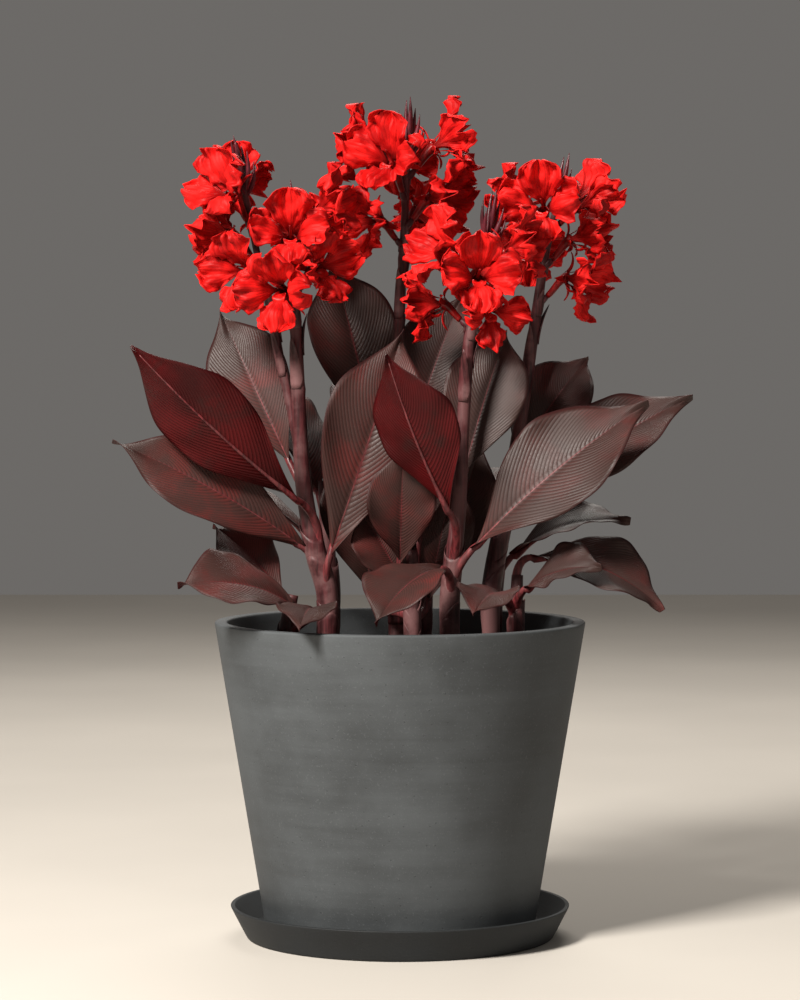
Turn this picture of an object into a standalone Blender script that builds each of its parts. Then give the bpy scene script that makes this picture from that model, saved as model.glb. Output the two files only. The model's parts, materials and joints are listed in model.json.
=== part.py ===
"""A red canna lily with dark leaves, grown in a tapered pot that stands on its saucer.

Units are metres and +Z is up. The origin is the middle of the saucer's underside, and the plant is
seen from its front when looking along +Y. The saucer, the pot and the soil are turned pieces. Each
shoot is one grown piece: a stem, its leaf stalks and leaves, and for a flowering shoot the flower
stalk with its ovaries and buds. Each red bloom is a piece of its own that sits on its ovary.
"""

import math

import bmesh
import bpy
from mathutils import Matrix, Vector
from mathutils.bvhtree import BVHTree

# The leaves' table is in millimetres
MM = 0.001

# Fit between neighbouring pieces
GAP = 0.0003
MERGE = 0.0001

# Saucer and pot
TURN_STEPS = 40
SAUCER_RIM_RADIUS = 0.2065
SAUCER_BASE_RADIUS = 0.183
SAUCER_HEIGHT = 0.039
SAUCER_FLOOR = 0.0085
SAUCER_LIP = 0.0055
SAUCER_EDGE = 0.0012
SAUCER_CORNER = 0.006
SAUCER_SKIRT = 0.007
SAUCER_HEEL = 0.0018
POT_RIM_RADIUS = 0.225
POT_BASE_RADIUS = 0.163
POT_TOP = 0.3835
POT_RIM_WIDTH = 0.0155
POT_WALL = 0.012
POT_FLOOR = 0.014
POT_EDGE = 0.002
DRAIN_RADIUS = 0.009
DRAIN_RING = 0.085
DRAIN_COUNT = 4

# Soil and the holes that the stems stand in
SOIL_TOP = 0.349
SOIL_CROWN = 0.007
SOIL_DIP = 0.003
SOIL_INNER_RING = 0.110
SOIL_OUTER_RING = 0.180
HOLE_DEPTH = 0.035
HOLE_PLAY = 0.0006
HOLE_SIDES = 8
COLLAR_HEIGHT = 0.012

# Blades, stalks and buds
BLADE_THICKNESS = 0.0013
LEAF_ALONG = 5
LEAF_ACROSS = 4
LEAF_TIP = 0.022
LEAF_POINT = 1.6
LEAF_PACE = 0.9
VEIN_SWEEP = 0.16
VEIN_CURVE = 1.3
WAVES = 1.6
WAVE_SLANT = 0.17
STALK_BASE_RADIUS = 0.0072
STALK_FOOT_RADIUS = 0.0042
RIB_RADIUS = 0.0022
RIB_SHARE = 0.08
STALK_POINTS = 4
STALK_PULL = 0.4
STEM_PARTS = 1
BUD_LENGTH = 0.060
BUD_RADII = (0.0022, 0.0034, 0.0006)
BUD_STEPS = (0.0, 0.5, 1.0)
BUD_TURN = 137.5
BUD_FAN = 24
BUD_FAN_PACE = 0.7
BUD_SPREAD = 0.016
BUD_SEAT = 0.004
BUD_SHRINK = 0.25
OVARY_REACH = 0.016
OVARY_RADII = (0.0028, 0.0042)

# Blooms
PETAL_COUNT = 4
PETAL_ALONG = 3
PETAL_ACROSS = 2
TUBE_ALONG = 1
PETAL_THICKNESS = 0.0011
TUBE_RADII = (0.0034, 0.0068)
TUBE_START_PULL = 0.4
TUBE_END_PULL = 0.3
BLOOM_REACH = 0.048
RUFFLE_WAVES = 0.62
RUFFLE_TURN = 1.7
PETAL_START = 12.0
PETAL_SECTOR = 0.93
PETAL_CLAW = 0.10
PETAL_WAIST = 2.2
PETAL_BELLY = 0.66
PETAL_END = 1.06
FLARE_TRIES = (0, -10, 10, -20, 20, 30, -30, 42)
SIZE_TRIES = (1.0, 0.85, 0.7, 0.55, 0.42)
SHARP_ANGLE = 40

# Petals of a bloom: length, width, flare at the tip, cup, ruffle
PETALS = (
    (0.058, 0.052, 58, 0.16, 0.0060),
    (0.056, 0.050, 78, -0.16, 0.0070),
    (0.052, 0.048, 102, -0.12, 0.0060),
    (0.056, 0.050, 72, -0.14, 0.0070),
)

# Colours
COLOURS = {
    "stoneware": (0.060, 0.062, 0.064),
    "saucer_stoneware": (0.040, 0.041, 0.043),
    "earth": (0.020, 0.013, 0.010),
    "leaf": (0.070, 0.030, 0.032),
    "petal": (0.600, 0.006, 0.006),
}
ROUGHNESS = {"stoneware": 0.75, "saucer_stoneware": 0.7, "earth": 0.95, "leaf": 0.45, "petal": 0.55}

# Stems: points from the soil up, each with the stem's radius there
STEMS = {
    "shoot_left": (
        (-0.088, -0.030, 0.420, 0.0110),
        (-0.103, -0.032, 0.475, 0.0108),
        (-0.116, -0.032, 0.550, 0.0100),
        (-0.121, -0.031, 0.630, 0.0088),
        (-0.124, -0.030, 0.715, 0.0074),
        (-0.128, -0.030, 0.790, 0.0056),
        (-0.130, -0.026, 0.860, 0.0036),
    ),
    "shoot_middle": (
        (-0.004, 0.062, 0.420, 0.0105),
        (-0.004, 0.062, 0.520, 0.0098),
        (-0.004, 0.061, 0.640, 0.0082),
        (-0.001, 0.060, 0.740, 0.0068),
        (0.004, 0.060, 0.835, 0.0052),
        (0.010, 0.060, 0.966, 0.0036),
    ),
    "shoot_front": (
        (0.060, -0.052, 0.420, 0.0100),
        (0.070, -0.052, 0.520, 0.0092),
        (0.075, -0.050, 0.620, 0.0080),
        (0.084, -0.048, 0.735, 0.0068),
        (0.096, -0.046, 0.790, 0.0052),
        (0.106, -0.044, 0.850, 0.0036),
    ),
    "shoot_right": (
        (0.112, 0.050, 0.420, 0.0100),
        (0.130, 0.050, 0.520, 0.0092),
        (0.150, 0.050, 0.640, 0.0078),
        (0.166, 0.050, 0.750, 0.0066),
        (0.178, 0.050, 0.830, 0.0050),
        (0.194, 0.050, 0.898, 0.0036),
    ),
    "leafy_left": (
        (-0.135, -0.075, 0.385, 0.0085),
        (-0.128, -0.072, 0.420, 0.0070),
    ),
    "leafy_right": (
        (0.140, -0.015, 0.390, 0.0085),
        (0.142, -0.012, 0.440, 0.0070),
    ),
    "leafy_centre": (
        (0.015, -0.010, 0.400, 0.0085),
        (0.014, -0.012, 0.470, 0.0070),
    ),
    "leafy_back": (
        (0.030, 0.140, 0.420, 0.0090),
        (0.034, 0.146, 0.500, 0.0080),
        (0.036, 0.150, 0.580, 0.0065),
    ),
    "leafy_back_left": (
        (-0.085, 0.095, 0.420, 0.0090),
        (-0.092, 0.102, 0.490, 0.0080),
        (-0.095, 0.106, 0.550, 0.0065),
    ),
    "leafy_back_right": (
        (0.118, 0.128, 0.400, 0.0085),
        (0.124, 0.134, 0.460, 0.0075),
        (0.128, 0.138, 0.520, 0.0065),
    ),
}

# The second flower stalk of the left shoot leaves the stem here
SECOND_STALK = (
    (-0.117, -0.032, 0.570, 0.0060),
    (-0.131, -0.024, 0.640, 0.0056),
    (-0.144, -0.020, 0.700, 0.0052),
    (-0.154, -0.020, 0.755, 0.0048),
    (-0.170, -0.022, 0.820, 0.0042),
    (-0.189, -0.024, 0.914, 0.0034),
)

# Leaves: shoot, stalk height, foot, tip, face, width, belly, bow, twist, fold, wave
LEAVES = (
    ("shoot_left", 400, (-117, -35, 475), (-339, -110, 604), (5, -88, 45), 98, 42, 36, 8, 12, 6),
    ("shoot_left", 455, (-118, -62, 530), (-312, -170, 716), (-10, 88, 45), 106, 44, -28, -6, 10, 6),
    ("shoot_left", 500, (-134, 10, 575), (-221, 75, 759), (-15, -90, 35), 100, 42, 26, 6, 12, 5),
    ("shoot_left", 385, (-83, -45, 468), (4, -10, 736), (15, -95, 12), 126, 42, 24, -8, 12, 6),
    ("shoot_middle", 520, (-30, 72, 600), (-86, 110, 824), (20, -92, 20), 116, 42, 24, 0, 14, 6),
    ("shoot_middle", 560, (18, 68, 620), (78, 105, 780), (-10, -90, 30), 104, 42, 30, 0, 14, 5),
    ("shoot_middle", 460, (-12, 100, 540), (-50, 260, 700), (0, -55, 80), 112, 42, 44, 0, 12, 6),
    ("shoot_front", 430, (60, -90, 518), (-16, -150, 706), (30, 85, 40), 108, 42, -24, 4, 18, 5),
    ("shoot_front", 400, (87, -68, 475), (296, -70, 648), (-20, -80, 55), 130, 42, 30, -8, 12, 7),
    ("shoot_front", 380, (50, -90, 452), (-28, -215, 395), (-10, -45, 90), 96, 42, 50, 0, 16, 4),
    ("shoot_front", 480, (76, -20, 560), (130, 20, 735), (-10, -90, 35), 104, 42, 28, 6, 14, 5),
    ("shoot_right", 500, (152, 62, 590), (233, 90, 702), (-25, -85, 40), 98, 42, 34, -6, 14, 5),
    ("shoot_right", 440, (150, 40, 520), (357, 30, 654), (-20, -80, 55), 104, 42, 36, 0, 14, 6),
    ("shoot_right", 470, (150, 90, 550), (245, 215, 665), (-45, -45, 75), 104, 42, 46, 0, 12, 6),
    ("leafy_left", 370, (-128, -85, 408), (-259, -165, 437), (10, -60, 75), 100, 42, 56, 10, 10, 5),
    ("leafy_left", 360, (-100, -105, 402), (-115, -235, 391), (0, -20, 95), 72, 42, 46, 0, 12, 3),
    ("leafy_left", 380, (-142, -55, 420), (-225, -35, 500), (30, -60, 65), 84, 42, 40, 0, 14, 4),
    ("leafy_right", 400, (158, -20, 462), (314, -60, 400), (20, -60, 80), 96, 42, 66, 0, 14, 5),
    ("leafy_right", 385, (150, -45, 425), (238, -110, 455), (0, -60, 80), 84, 42, 46, 0, 14, 4),
    ("leafy_right", 380, (122, -45, 418), (85, -165, 402), (10, -20, 95), 76, 42, 46, 0, 14, 4),
    ("leafy_centre", 400, (0, -25, 455), (4, -75, 600), (0, -92, 25), 86, 42, 26, 0, 16, 4),
    ("leafy_centre", 410, (22, 4, 480), (38, 28, 660), (-10, -90, 25), 92, 42, 24, 0, 14, 4),
    ("leafy_centre", 390, (5, -12, 425), (-52, -20, 520), (20, -80, 50), 88, 42, 34, 0, 14, 4),
    ("leafy_centre", 380, (-30, 20, 408), (-74, 36, 590), (5, -95, 20), 88, 42, 24, 0, 14, 4),
    ("leafy_centre", 375, (34, 14, 405), (66, 24, 560), (-5, -95, 20), 80, 42, 24, 0, 14, 4),
    ("leafy_back", 400, (62, 92, 440), (100, 60, 600), (-20, -92, 20), 96, 42, 28, 0, 14, 4),
    ("leafy_back", 480, (34, 175, 560), (60, 300, 690), (0, -55, 80), 108, 42, 44, 0, 12, 6),
    ("leafy_back", 430, (55, 155, 500), (170, 270, 560), (-30, -25, 90), 104, 42, 56, 0, 12, 6),
    ("leafy_back", 400, (20, 165, 460), (-40, 300, 470), (0, 0, 100), 98, 42, 60, 0, 12, 5),
    ("leafy_back_left", 460, (-102, 118, 535), (-190, 230, 665), (40, -40, 80), 108, 42, 44, 0, 12, 6),
    ("leafy_back_left", 410, (-105, 95, 475), (-270, 90, 540), (30, -20, 90), 104, 42, 54, 0, 12, 6),
    ("leafy_back_right", 450, (140, 140, 520), (280, 160, 620), (-40, -35, 85), 104, 42, 46, 0, 12, 6),
    ("leafy_back_right", 400, (140, 120, 455), (285, 80, 500), (-25, -25, 90), 100, 42, 54, 0, 12, 5),
)

# Blooms: name, stalk, share of the stalk's flowering length, direction and rise of the tube, rise of
# the bloom's face, roll and size
BLOOMS = (
    ("bloom_left_1", "shoot_left", 0.02, -108, 35, 0, 0, 1.10),
    ("bloom_left_2", "shoot_left", 0.22, -45, 45, 10, 15, 1.00),
    ("bloom_left_3", "shoot_left", 0.48, -92, 50, 25, 0, 1.10),
    ("bloom_left_4", "shoot_left", 0.85, -15, 45, 35, 0, 1.00),
    ("bloom_left_5", "shoot_left", 0.55, 75, 50, 25, 0, 1.00),
    ("bloom_left_6", "second_stalk", 0.05, -125, 40, 5, 0, 1.05),
    ("bloom_left_7", "second_stalk", 0.30, 165, 50, 20, -10, 1.05),
    ("bloom_left_8", "second_stalk", 0.60, -140, 55, 30, 20, 1.05),
    ("bloom_left_9", "second_stalk", 0.70, 110, 55, 30, 0, 1.00),
    ("bloom_middle_1", "shoot_middle", 0.02, -140, 40, 0, 0, 1.00),
    ("bloom_middle_2", "shoot_middle", 0.45, -115, 50, 30, -10, 1.15),
    ("bloom_middle_3", "shoot_middle", 0.60, 170, 50, 25, 0, 1.10),
    ("bloom_middle_4", "shoot_middle", 0.20, -25, 45, 10, 10, 1.05),
    ("bloom_middle_5", "shoot_middle", 0.65, 0, 50, 30, 0, 1.10),
    ("bloom_middle_6", "shoot_middle", 0.10, 65, 45, 0, 0, 1.05),
    ("bloom_middle_7", "shoot_middle", 0.50, 95, 50, 25, 0, 1.05),
    ("bloom_front_1", "shoot_front", 0.40, -150, 50, 30, 0, 1.10),
    ("bloom_front_2", "shoot_front", 0.20, -85, 45, 15, 0, 1.10),
    ("bloom_front_3", "shoot_front", 0.02, -60, 30, -15, 0, 0.90),
    ("bloom_front_4", "shoot_front", 0.50, -10, 50, 25, 0, 1.00),
    ("bloom_front_5", "shoot_front", 0.30, 90, 45, 15, 0, 1.00),
    ("bloom_front_6", "shoot_front", 0.02, 170, 40, 0, 0, 0.95),
    ("bloom_right_1", "shoot_right", 0.55, -100, 50, 20, 0, 1.15),
    ("bloom_right_2", "shoot_right", 0.02, -20, 40, -10, 0, 1.05),
    ("bloom_right_3", "shoot_right", 0.35, -12, 45, 15, 0, 1.05),
    ("bloom_right_4", "shoot_right", 0.68, 30, 40, 30, 0, 1.05),
    ("bloom_right_5", "shoot_right", 0.25, 100, 45, 10, 0, 1.05),
    ("bloom_right_6", "shoot_right", 0.60, 165, 55, 30, 0, 1.00),
)

# Flowering length of each stalk: from this height to its top, and how many buds crown it
RACEMES = {
    "shoot_left": (0.750, 3),
    "second_stalk": (0.765, 9),
    "shoot_middle": (0.835, 9),
    "shoot_front": (0.735, 9),
    "shoot_right": (0.765, 7),
}


def make_material(name):
    """A plain surface of one of the object's colours."""
    material = bpy.data.materials.new(name)
    material.use_nodes = True
    shader = material.node_tree.nodes["Principled BSDF"]
    shader.inputs["Base Color"].default_value = (*COLOURS[name], 1.0)
    shader.inputs["Roughness"].default_value = ROUGHNESS[name]
    material.diffuse_color = (*COLOURS[name], 1.0)
    return material


def add_object(name, mesh, collection, material=None):
    """Puts a mesh in the scene under its piece's name."""
    piece = bpy.data.objects.new(name, mesh)
    collection.objects.link(piece)
    if material:
        mesh.materials.clear()
        mesh.materials.append(material)
    return piece


def turned(name, profile, collection, material):
    """Turns a profile of (radius, height) points, which runs down its outer side, about Z."""
    mesh = bpy.data.meshes.new(name)
    points = [(radius, 0.0, height) for radius, height in profile]
    edges = [(i, i + 1) for i in range(len(points) - 1)]
    mesh.from_pydata(points, edges, [])
    piece = add_object(name, mesh, collection, material)
    screw = piece.modifiers.new("Turn", "SCREW")
    screw.steps = TURN_STEPS
    screw.render_steps = TURN_STEPS
    screw.use_merge_vertices = True
    screw.merge_threshold = MERGE
    screw.use_smooth_shade = True
    return piece


def evaluated_mesh(piece):
    """The mesh of an object with its modifiers."""
    graph = bpy.context.evaluated_depsgraph_get()
    return bpy.data.meshes.new_from_object(piece.evaluated_get(graph))


def remove_objects(pieces):
    """Takes construction objects out of the file."""
    for piece in pieces:
        bpy.data.objects.remove(piece, do_unlink=True)


def tube(points, radii, resolution, collection):
    """A closed tube through points, with a radius at each."""
    curve = bpy.data.curves.new("tube", "CURVE")
    curve.dimensions = "3D"
    curve.bevel_depth = 1.0
    curve.bevel_resolution = resolution
    curve.use_fill_caps = True
    spline = curve.splines.new("POLY")
    spline.points.add(len(points) - 1)
    for knot, place, radius in zip(spline.points, points, radii):
        knot.co = (*place, 1.0)
        knot.radius = radius
    guide = add_object("tube", curve, collection)
    mesh = evaluated_mesh(guide)
    remove_objects([guide])
    weld(mesh)
    return add_object("tube", mesh, collection)


def weld(mesh):
    """Joins a tube's caps to its side and turns its faces outward."""
    body = bmesh.new()
    body.from_mesh(mesh)
    bmesh.ops.remove_doubles(body, verts=body.verts, dist=MERGE)
    bmesh.ops.recalc_face_normals(body, faces=body.faces)
    body.to_mesh(mesh)
    body.free()


def sheet_of(surface, along, across):
    """The middle surface of a blade, surface(u, v) with u along it and v from -1 to 1 across."""
    sheet = bmesh.new()
    bmesh.ops.create_grid(sheet, x_segments=across, y_segments=along, size=1.0)
    for vert in sheet.verts:
        vert.co = surface(0.5 + 0.5 * vert.co.y, vert.co.x)
    bmesh.ops.triangulate(sheet, faces=sheet.faces)
    return sheet


def blade(name, sheet, thickness, collection):
    """A thin closed blade of even thickness on a middle surface."""
    mesh = bpy.data.meshes.new(name)
    sheet.to_mesh(mesh)
    sheet.free()
    piece = add_object(name, mesh, collection)
    solidify = piece.modifiers.new("Thickness", "SOLIDIFY")
    solidify.thickness = thickness
    solidify.offset = 0.0
    solid = evaluated_mesh(piece)
    remove_objects([piece])
    weld(solid)
    return add_object(name, solid, collection)


def largest_body(mesh):
    """Keeps a mesh's largest connected body."""
    body = bmesh.new()
    body.from_mesh(mesh)
    unseen = set(body.verts)
    groups = []
    while unseen:
        group = {unseen.pop()}
        edge_of_group = set(group)
        while edge_of_group:
            reached = set()
            for vert in edge_of_group:
                reached.update(link.other_vert(vert) for link in vert.link_edges)
            edge_of_group = reached & unseen
            unseen -= edge_of_group
            group |= edge_of_group
        groups.append(group)
    keep = max(groups, key=len)
    bmesh.ops.delete(body, geom=[vert for vert in body.verts if vert not in keep], context="VERTS")
    bmesh.ops.triangulate(body, faces=body.faces)
    body.to_mesh(mesh)
    body.free()


def fuse(name, pieces, collection, material):
    """Joins pieces that grow into each other into one closed body."""
    base = pieces[0]
    repeats = bpy.data.collections.new(name + "_repeats")
    bpy.context.scene.collection.children.link(repeats)
    for piece in pieces[1:]:
        repeats.objects.link(piece)
    union = base.modifiers.new("Grow", "BOOLEAN")
    union.operation = "UNION"
    union.operand_type = "COLLECTION"
    union.collection = repeats
    union.solver = "EXACT"
    mesh = evaluated_mesh(base)
    remove_objects(pieces)
    bpy.data.collections.remove(repeats)
    largest_body(mesh)
    mesh.name = name
    fused = add_object(name, mesh, collection, material)
    mesh.shade_smooth()
    mesh.set_sharp_from_angle(angle=math.radians(SHARP_ANGLE))
    return fused


def smooth_points(rows, parts):
    """Points and radii read from a smooth curve through rows of (x, y, z, radius)."""
    knots = [Vector(row) for row in rows]
    knots = [2 * knots[0] - knots[1]] + knots + [2 * knots[-1] - knots[-2]]
    places = []
    for i in range(1, len(knots) - 2):
        before, start, end, after = knots[i - 1:i + 3]
        for j in range(parts):
            t = j / parts
            pull = (end - before) * t + (2 * before - 5 * start + 4 * end - after) * t * t
            pull += (3 * start - before - 3 * end + after) * t ** 3
            places.append(start + 0.5 * pull)
    places.append(knots[-2])
    return [place.xyz for place in places], [place.w for place in places]


def stem_path(name):
    """Points and radii along a stem, from its foot in the soil, or along the second flower stalk."""
    if name == "second_stalk":
        return smooth_points(SECOND_STALK, STEM_PARTS)
    x, y, _, radius = STEMS[name][0]
    foot = (x, y, SOIL_TOP - HOLE_DEPTH + GAP, radius)
    collar = (x, y, SOIL_TOP + COLLAR_HEIGHT, radius)
    return smooth_points((foot, collar, *STEMS[name]), STEM_PARTS)


def place_at_height(name, height):
    """The middle of a stem at a height."""
    places, _ = stem_path(name)
    for low, high in zip(places, places[1:]):
        if low.z <= height <= high.z:
            return low.lerp(high, (height - low.z) / (high.z - low.z))
    return places[-1]


def square_to(vector, axis):
    """The part of a vector that is square to an axis, at unit length."""
    return (vector - vector.dot(axis) * axis).normalized()


class Leaf:
    """A leaf blade: an arched midrib with a folded, waved blade on each side."""

    def __init__(self, row):
        self.shoot, height, foot, tip, face, width, belly, bow, twist, fold, wave = row
        self.height = height * MM
        self.foot = Vector(foot) * MM
        self.chord = Vector(tip) * MM - self.foot
        self.length = self.chord.length
        self.chord.normalize()
        self.face = square_to(Vector(face), self.chord)
        self.half = 0.5 * width * MM
        self.belly = belly / 100
        self.bow = math.radians(bow)
        self.twist = math.radians(twist)
        self.fold = math.radians(fold)
        self.wave = wave * MM

    def midrib(self, u):
        """The midrib's point and direction at a share of its length."""
        half_bow = 0.5 * self.bow
        angle = self.bow * u - half_bow
        radius = 0.5 * self.length / math.sin(half_bow)
        forward = radius * (math.sin(angle) + math.sin(half_bow))
        rise = radius * (math.cos(angle) - math.cos(half_bow))
        place = self.foot + forward * self.chord + rise * self.face
        return place, math.cos(angle) * self.chord - math.sin(angle) * self.face

    def half_width(self, u):
        """Half the blade's width, widest at the belly."""
        end = LEAF_POINT
        start = end * self.belly / (1 - self.belly)
        peak = self.belly ** start * (1 - self.belly) ** end
        u = min(max(u, LEAF_TIP), 1 - LEAF_TIP)
        return self.half * u ** start * (1 - u) ** end / peak

    def surface(self, u, v):
        """A point of the blade, u along it and v across it."""
        along = u + VEIN_SWEEP * abs(v) ** VEIN_CURVE * 4 * u * (1 - u)
        place, direction = self.midrib(along)
        up = square_to(self.face, direction)
        up = Matrix.Rotation(self.twist * (along - 0.5), 3, direction) @ up
        side = direction.cross(up)
        reach = self.half_width(u) * v
        lift = abs(reach) * math.sin(self.fold)
        lift += self.wave * v * v * math.sin(math.tau * WAVES * (u + WAVE_SLANT * v))
        return place + reach * math.cos(self.fold) * side + lift * up

    def paced_surface(self, u, v):
        """The surface with its rows set closer towards the tip."""
        return self.surface(u ** LEAF_PACE, v)


def bezier(start, start_pull, end_pull, end, count):
    """Points of a curve that leaves along one handle and arrives along the other."""
    places = []
    for i in range(count + 1):
        t = i / count
        place = (1 - t) ** 3 * start + 3 * t * (1 - t) ** 2 * start_pull
        place += 3 * t * t * (1 - t) * end_pull + t ** 3 * end
        places.append(place)
    return places


def stalk(leaf, collection):
    """A leaf's stalk, from inside its stem to a little way up the blade."""
    start = place_at_height(leaf.shoot, leaf.height)
    foot, direction = leaf.midrib(0.0)
    pull = STALK_PULL * (foot - start).length
    places = bezier(start, start + Vector((0, 0, pull)), foot - pull * direction, foot, STALK_POINTS - 1)
    places.append(leaf.midrib(RIB_SHARE)[0])
    radii = []
    for i in range(STALK_POINTS):
        radii.append(STALK_BASE_RADIUS + (STALK_FOOT_RADIUS - STALK_BASE_RADIUS) * i / (STALK_POINTS - 1))
    radii.append(RIB_RADIUS)
    return tube(places, radii, 0, collection)


def heading(azimuth, rise):
    """A direction from its bearing about Z and its rise, in degrees."""
    azimuth = math.radians(azimuth)
    rise = math.radians(rise)
    level = math.cos(rise)
    return Vector((level * math.cos(azimuth), level * math.sin(azimuth), math.sin(rise)))


class Bloom:
    """A bloom: a tube from its ovary to the throat, and petals that flare from the throat."""

    def __init__(self, row):
        self.number = BLOOMS.index(row)
        self.name, self.stalk, share, azimuth, rise, face_rise, roll, self.size = row
        base_height = RACEMES[self.stalk][0]
        top_height = stem_path(self.stalk)[0][-1].z
        self.node = place_at_height(self.stalk, base_height + share * (top_height - base_height))
        self.out = heading(azimuth, rise)
        self.ovary_end = self.node + OVARY_REACH * self.out
        self.tube_start = self.ovary_end + GAP * self.out
        self.axis = heading(azimuth, face_rise)
        up = square_to(Vector((0, 0, 1)), self.axis)
        self.up = Matrix.Rotation(math.radians(roll), 3, self.axis) @ up
        self.throat = self.node + BLOOM_REACH * self.size * self.out

    def tube_point(self, u, turn):
        """A point of the tube, u from its ovary to the throat and turn about its axis."""
        reach = (self.throat - self.tube_start).length
        start_pull = self.tube_start + TUBE_START_PULL * reach * self.out
        end_pull = self.throat - TUBE_END_PULL * reach * self.axis
        path = bezier(self.tube_start, start_pull, end_pull, self.throat, TUBE_ALONG)
        step = round(u * TUBE_ALONG)
        direction = self.out.lerp(self.axis, u).normalized()
        up = square_to(self.up, direction)
        radial = Matrix.Rotation(turn, 3, direction) @ up
        return path[step] + TUBE_RADII[step] * radial

    def petal_point(self, u, v, index, flare, size):
        """A point of a petal, u along it from the throat and v across it."""
        length, width, tip_angle, cup, ruffle = PETALS[index]
        turn = math.tau * index / PETAL_COUNT
        start = math.radians(PETAL_START)
        bend = math.radians(tip_angle + flare) - start
        angle = start + bend * u
        length *= size * self.size
        out = TUBE_RADII[-1] + length * (math.cos(start) - math.cos(angle)) / bend
        rise = length * (math.sin(angle) - math.sin(start)) / bend
        radial = Matrix.Rotation(turn, 3, self.axis) @ self.up
        across = self.axis.cross(radial)
        inward = math.sin(angle) * self.axis - math.cos(angle) * radial
        half = 0.5 * width * size * self.size * petal_outline(u)
        half = min(half, PETAL_SECTOR * out)
        wave = math.sin(math.tau * RUFFLE_WAVES * v + index + RUFFLE_TURN * self.number)
        lift = cup * v * v * half + ruffle * u * u * wave
        return self.throat + out * radial + rise * self.axis + v * half * across + lift * inward


def petal_outline(u):
    """A petal's half width as a share of its widest, from a narrow claw to a round end."""
    if u < PETAL_BELLY:
        share = math.sin(0.5 * math.pi * u / PETAL_BELLY)
        return PETAL_CLAW + (1 - PETAL_CLAW) * share ** PETAL_WAIST
    share = (u - PETAL_BELLY) / (PETAL_END - PETAL_BELLY)
    return math.sqrt(1 - share * share)


def ovary(bloom, collection):
    """The dark ovary that carries a bloom, from inside its stalk."""
    return tube((bloom.node, bloom.ovary_end), OVARY_RADII, 0, collection)


def buds(name, collection):
    """The crown of slender buds at the top of a flower stalk."""
    places, _ = stem_path(name)
    top = places[-1]
    upright = (places[-1] - places[-2]).normalized()
    count = RACEMES[name][1]
    pieces = []
    for i in range(count):
        share = i / (count - 1)
        lean = math.radians(BUD_FAN * share ** BUD_FAN_PACE)
        turn = math.radians(BUD_TURN * i)
        side = square_to(Vector((math.cos(turn), math.sin(turn), 0)), upright)
        aim = math.cos(lean) * upright + math.sin(lean) * side
        start = top - upright * (BUD_SPREAD * share + BUD_SEAT)
        length = BUD_LENGTH * (1 - BUD_SHRINK * share)
        places = [start + aim * length * step for step in BUD_STEPS]
        pieces.append(tube(places, BUD_RADII, 0, collection))
    return pieces


def build_shoot(name, collection, work, material):
    """A shoot grown as one: stem, stalks, leaves, and any flower stalk with ovaries and buds."""
    pieces = [tube(*stem_path(name), 2, work)]
    if name == "shoot_left":
        pieces.append(tube(*stem_path("second_stalk"), 1, work))
    for row in LEAVES:
        if row[0] == name:
            leaf = Leaf(row)
            pieces.append(stalk(leaf, work))
            sheet = sheet_of(leaf.paced_surface, LEAF_ALONG, LEAF_ACROSS)
            pieces.append(blade("blade", sheet, BLADE_THICKNESS, work))
    flower_stalks = (name, "second_stalk") if name == "shoot_left" else (name,)
    for flower_stalk in flower_stalks:
        if flower_stalk in RACEMES:
            pieces += buds(flower_stalk, work)
            pieces += [ovary(Bloom(row), work) for row in BLOOMS if row[1] == flower_stalk]
    return fuse(name, pieces, collection, material)


def tree_of(piece):
    """A search tree of an object's faces, for finding what would cross it."""
    return BVHTree.FromObject(piece, bpy.context.evaluated_depsgraph_get())


def tube_tree(bloom):
    """A search tree of a bloom's tube."""
    sheet = sheet_of(lambda u, v: bloom.tube_point(u, math.pi * v), TUBE_ALONG, PETAL_COUNT * PETAL_ACROSS)
    tree = BVHTree.FromBMesh(sheet, epsilon=PETAL_THICKNESS)
    sheet.free()
    return tree


def settled_petal(bloom, index, taken):
    """The flare and size at which a petal is clear of every other piece, bent before it is made smaller."""
    for size in SIZE_TRIES:
        for flare in FLARE_TRIES:
            def surface(u, v, flare=flare, size=size):
                return bloom.petal_point(u, v, index, flare, size)

            sheet = sheet_of(surface, PETAL_ALONG, PETAL_ACROSS)
            tree = BVHTree.FromBMesh(sheet, epsilon=PETAL_THICKNESS)
            sheet.free()
            if not any(tree.overlap(other) for other in taken):
                return flare, size
    return FLARE_TRIES[0], SIZE_TRIES[-1]


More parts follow.
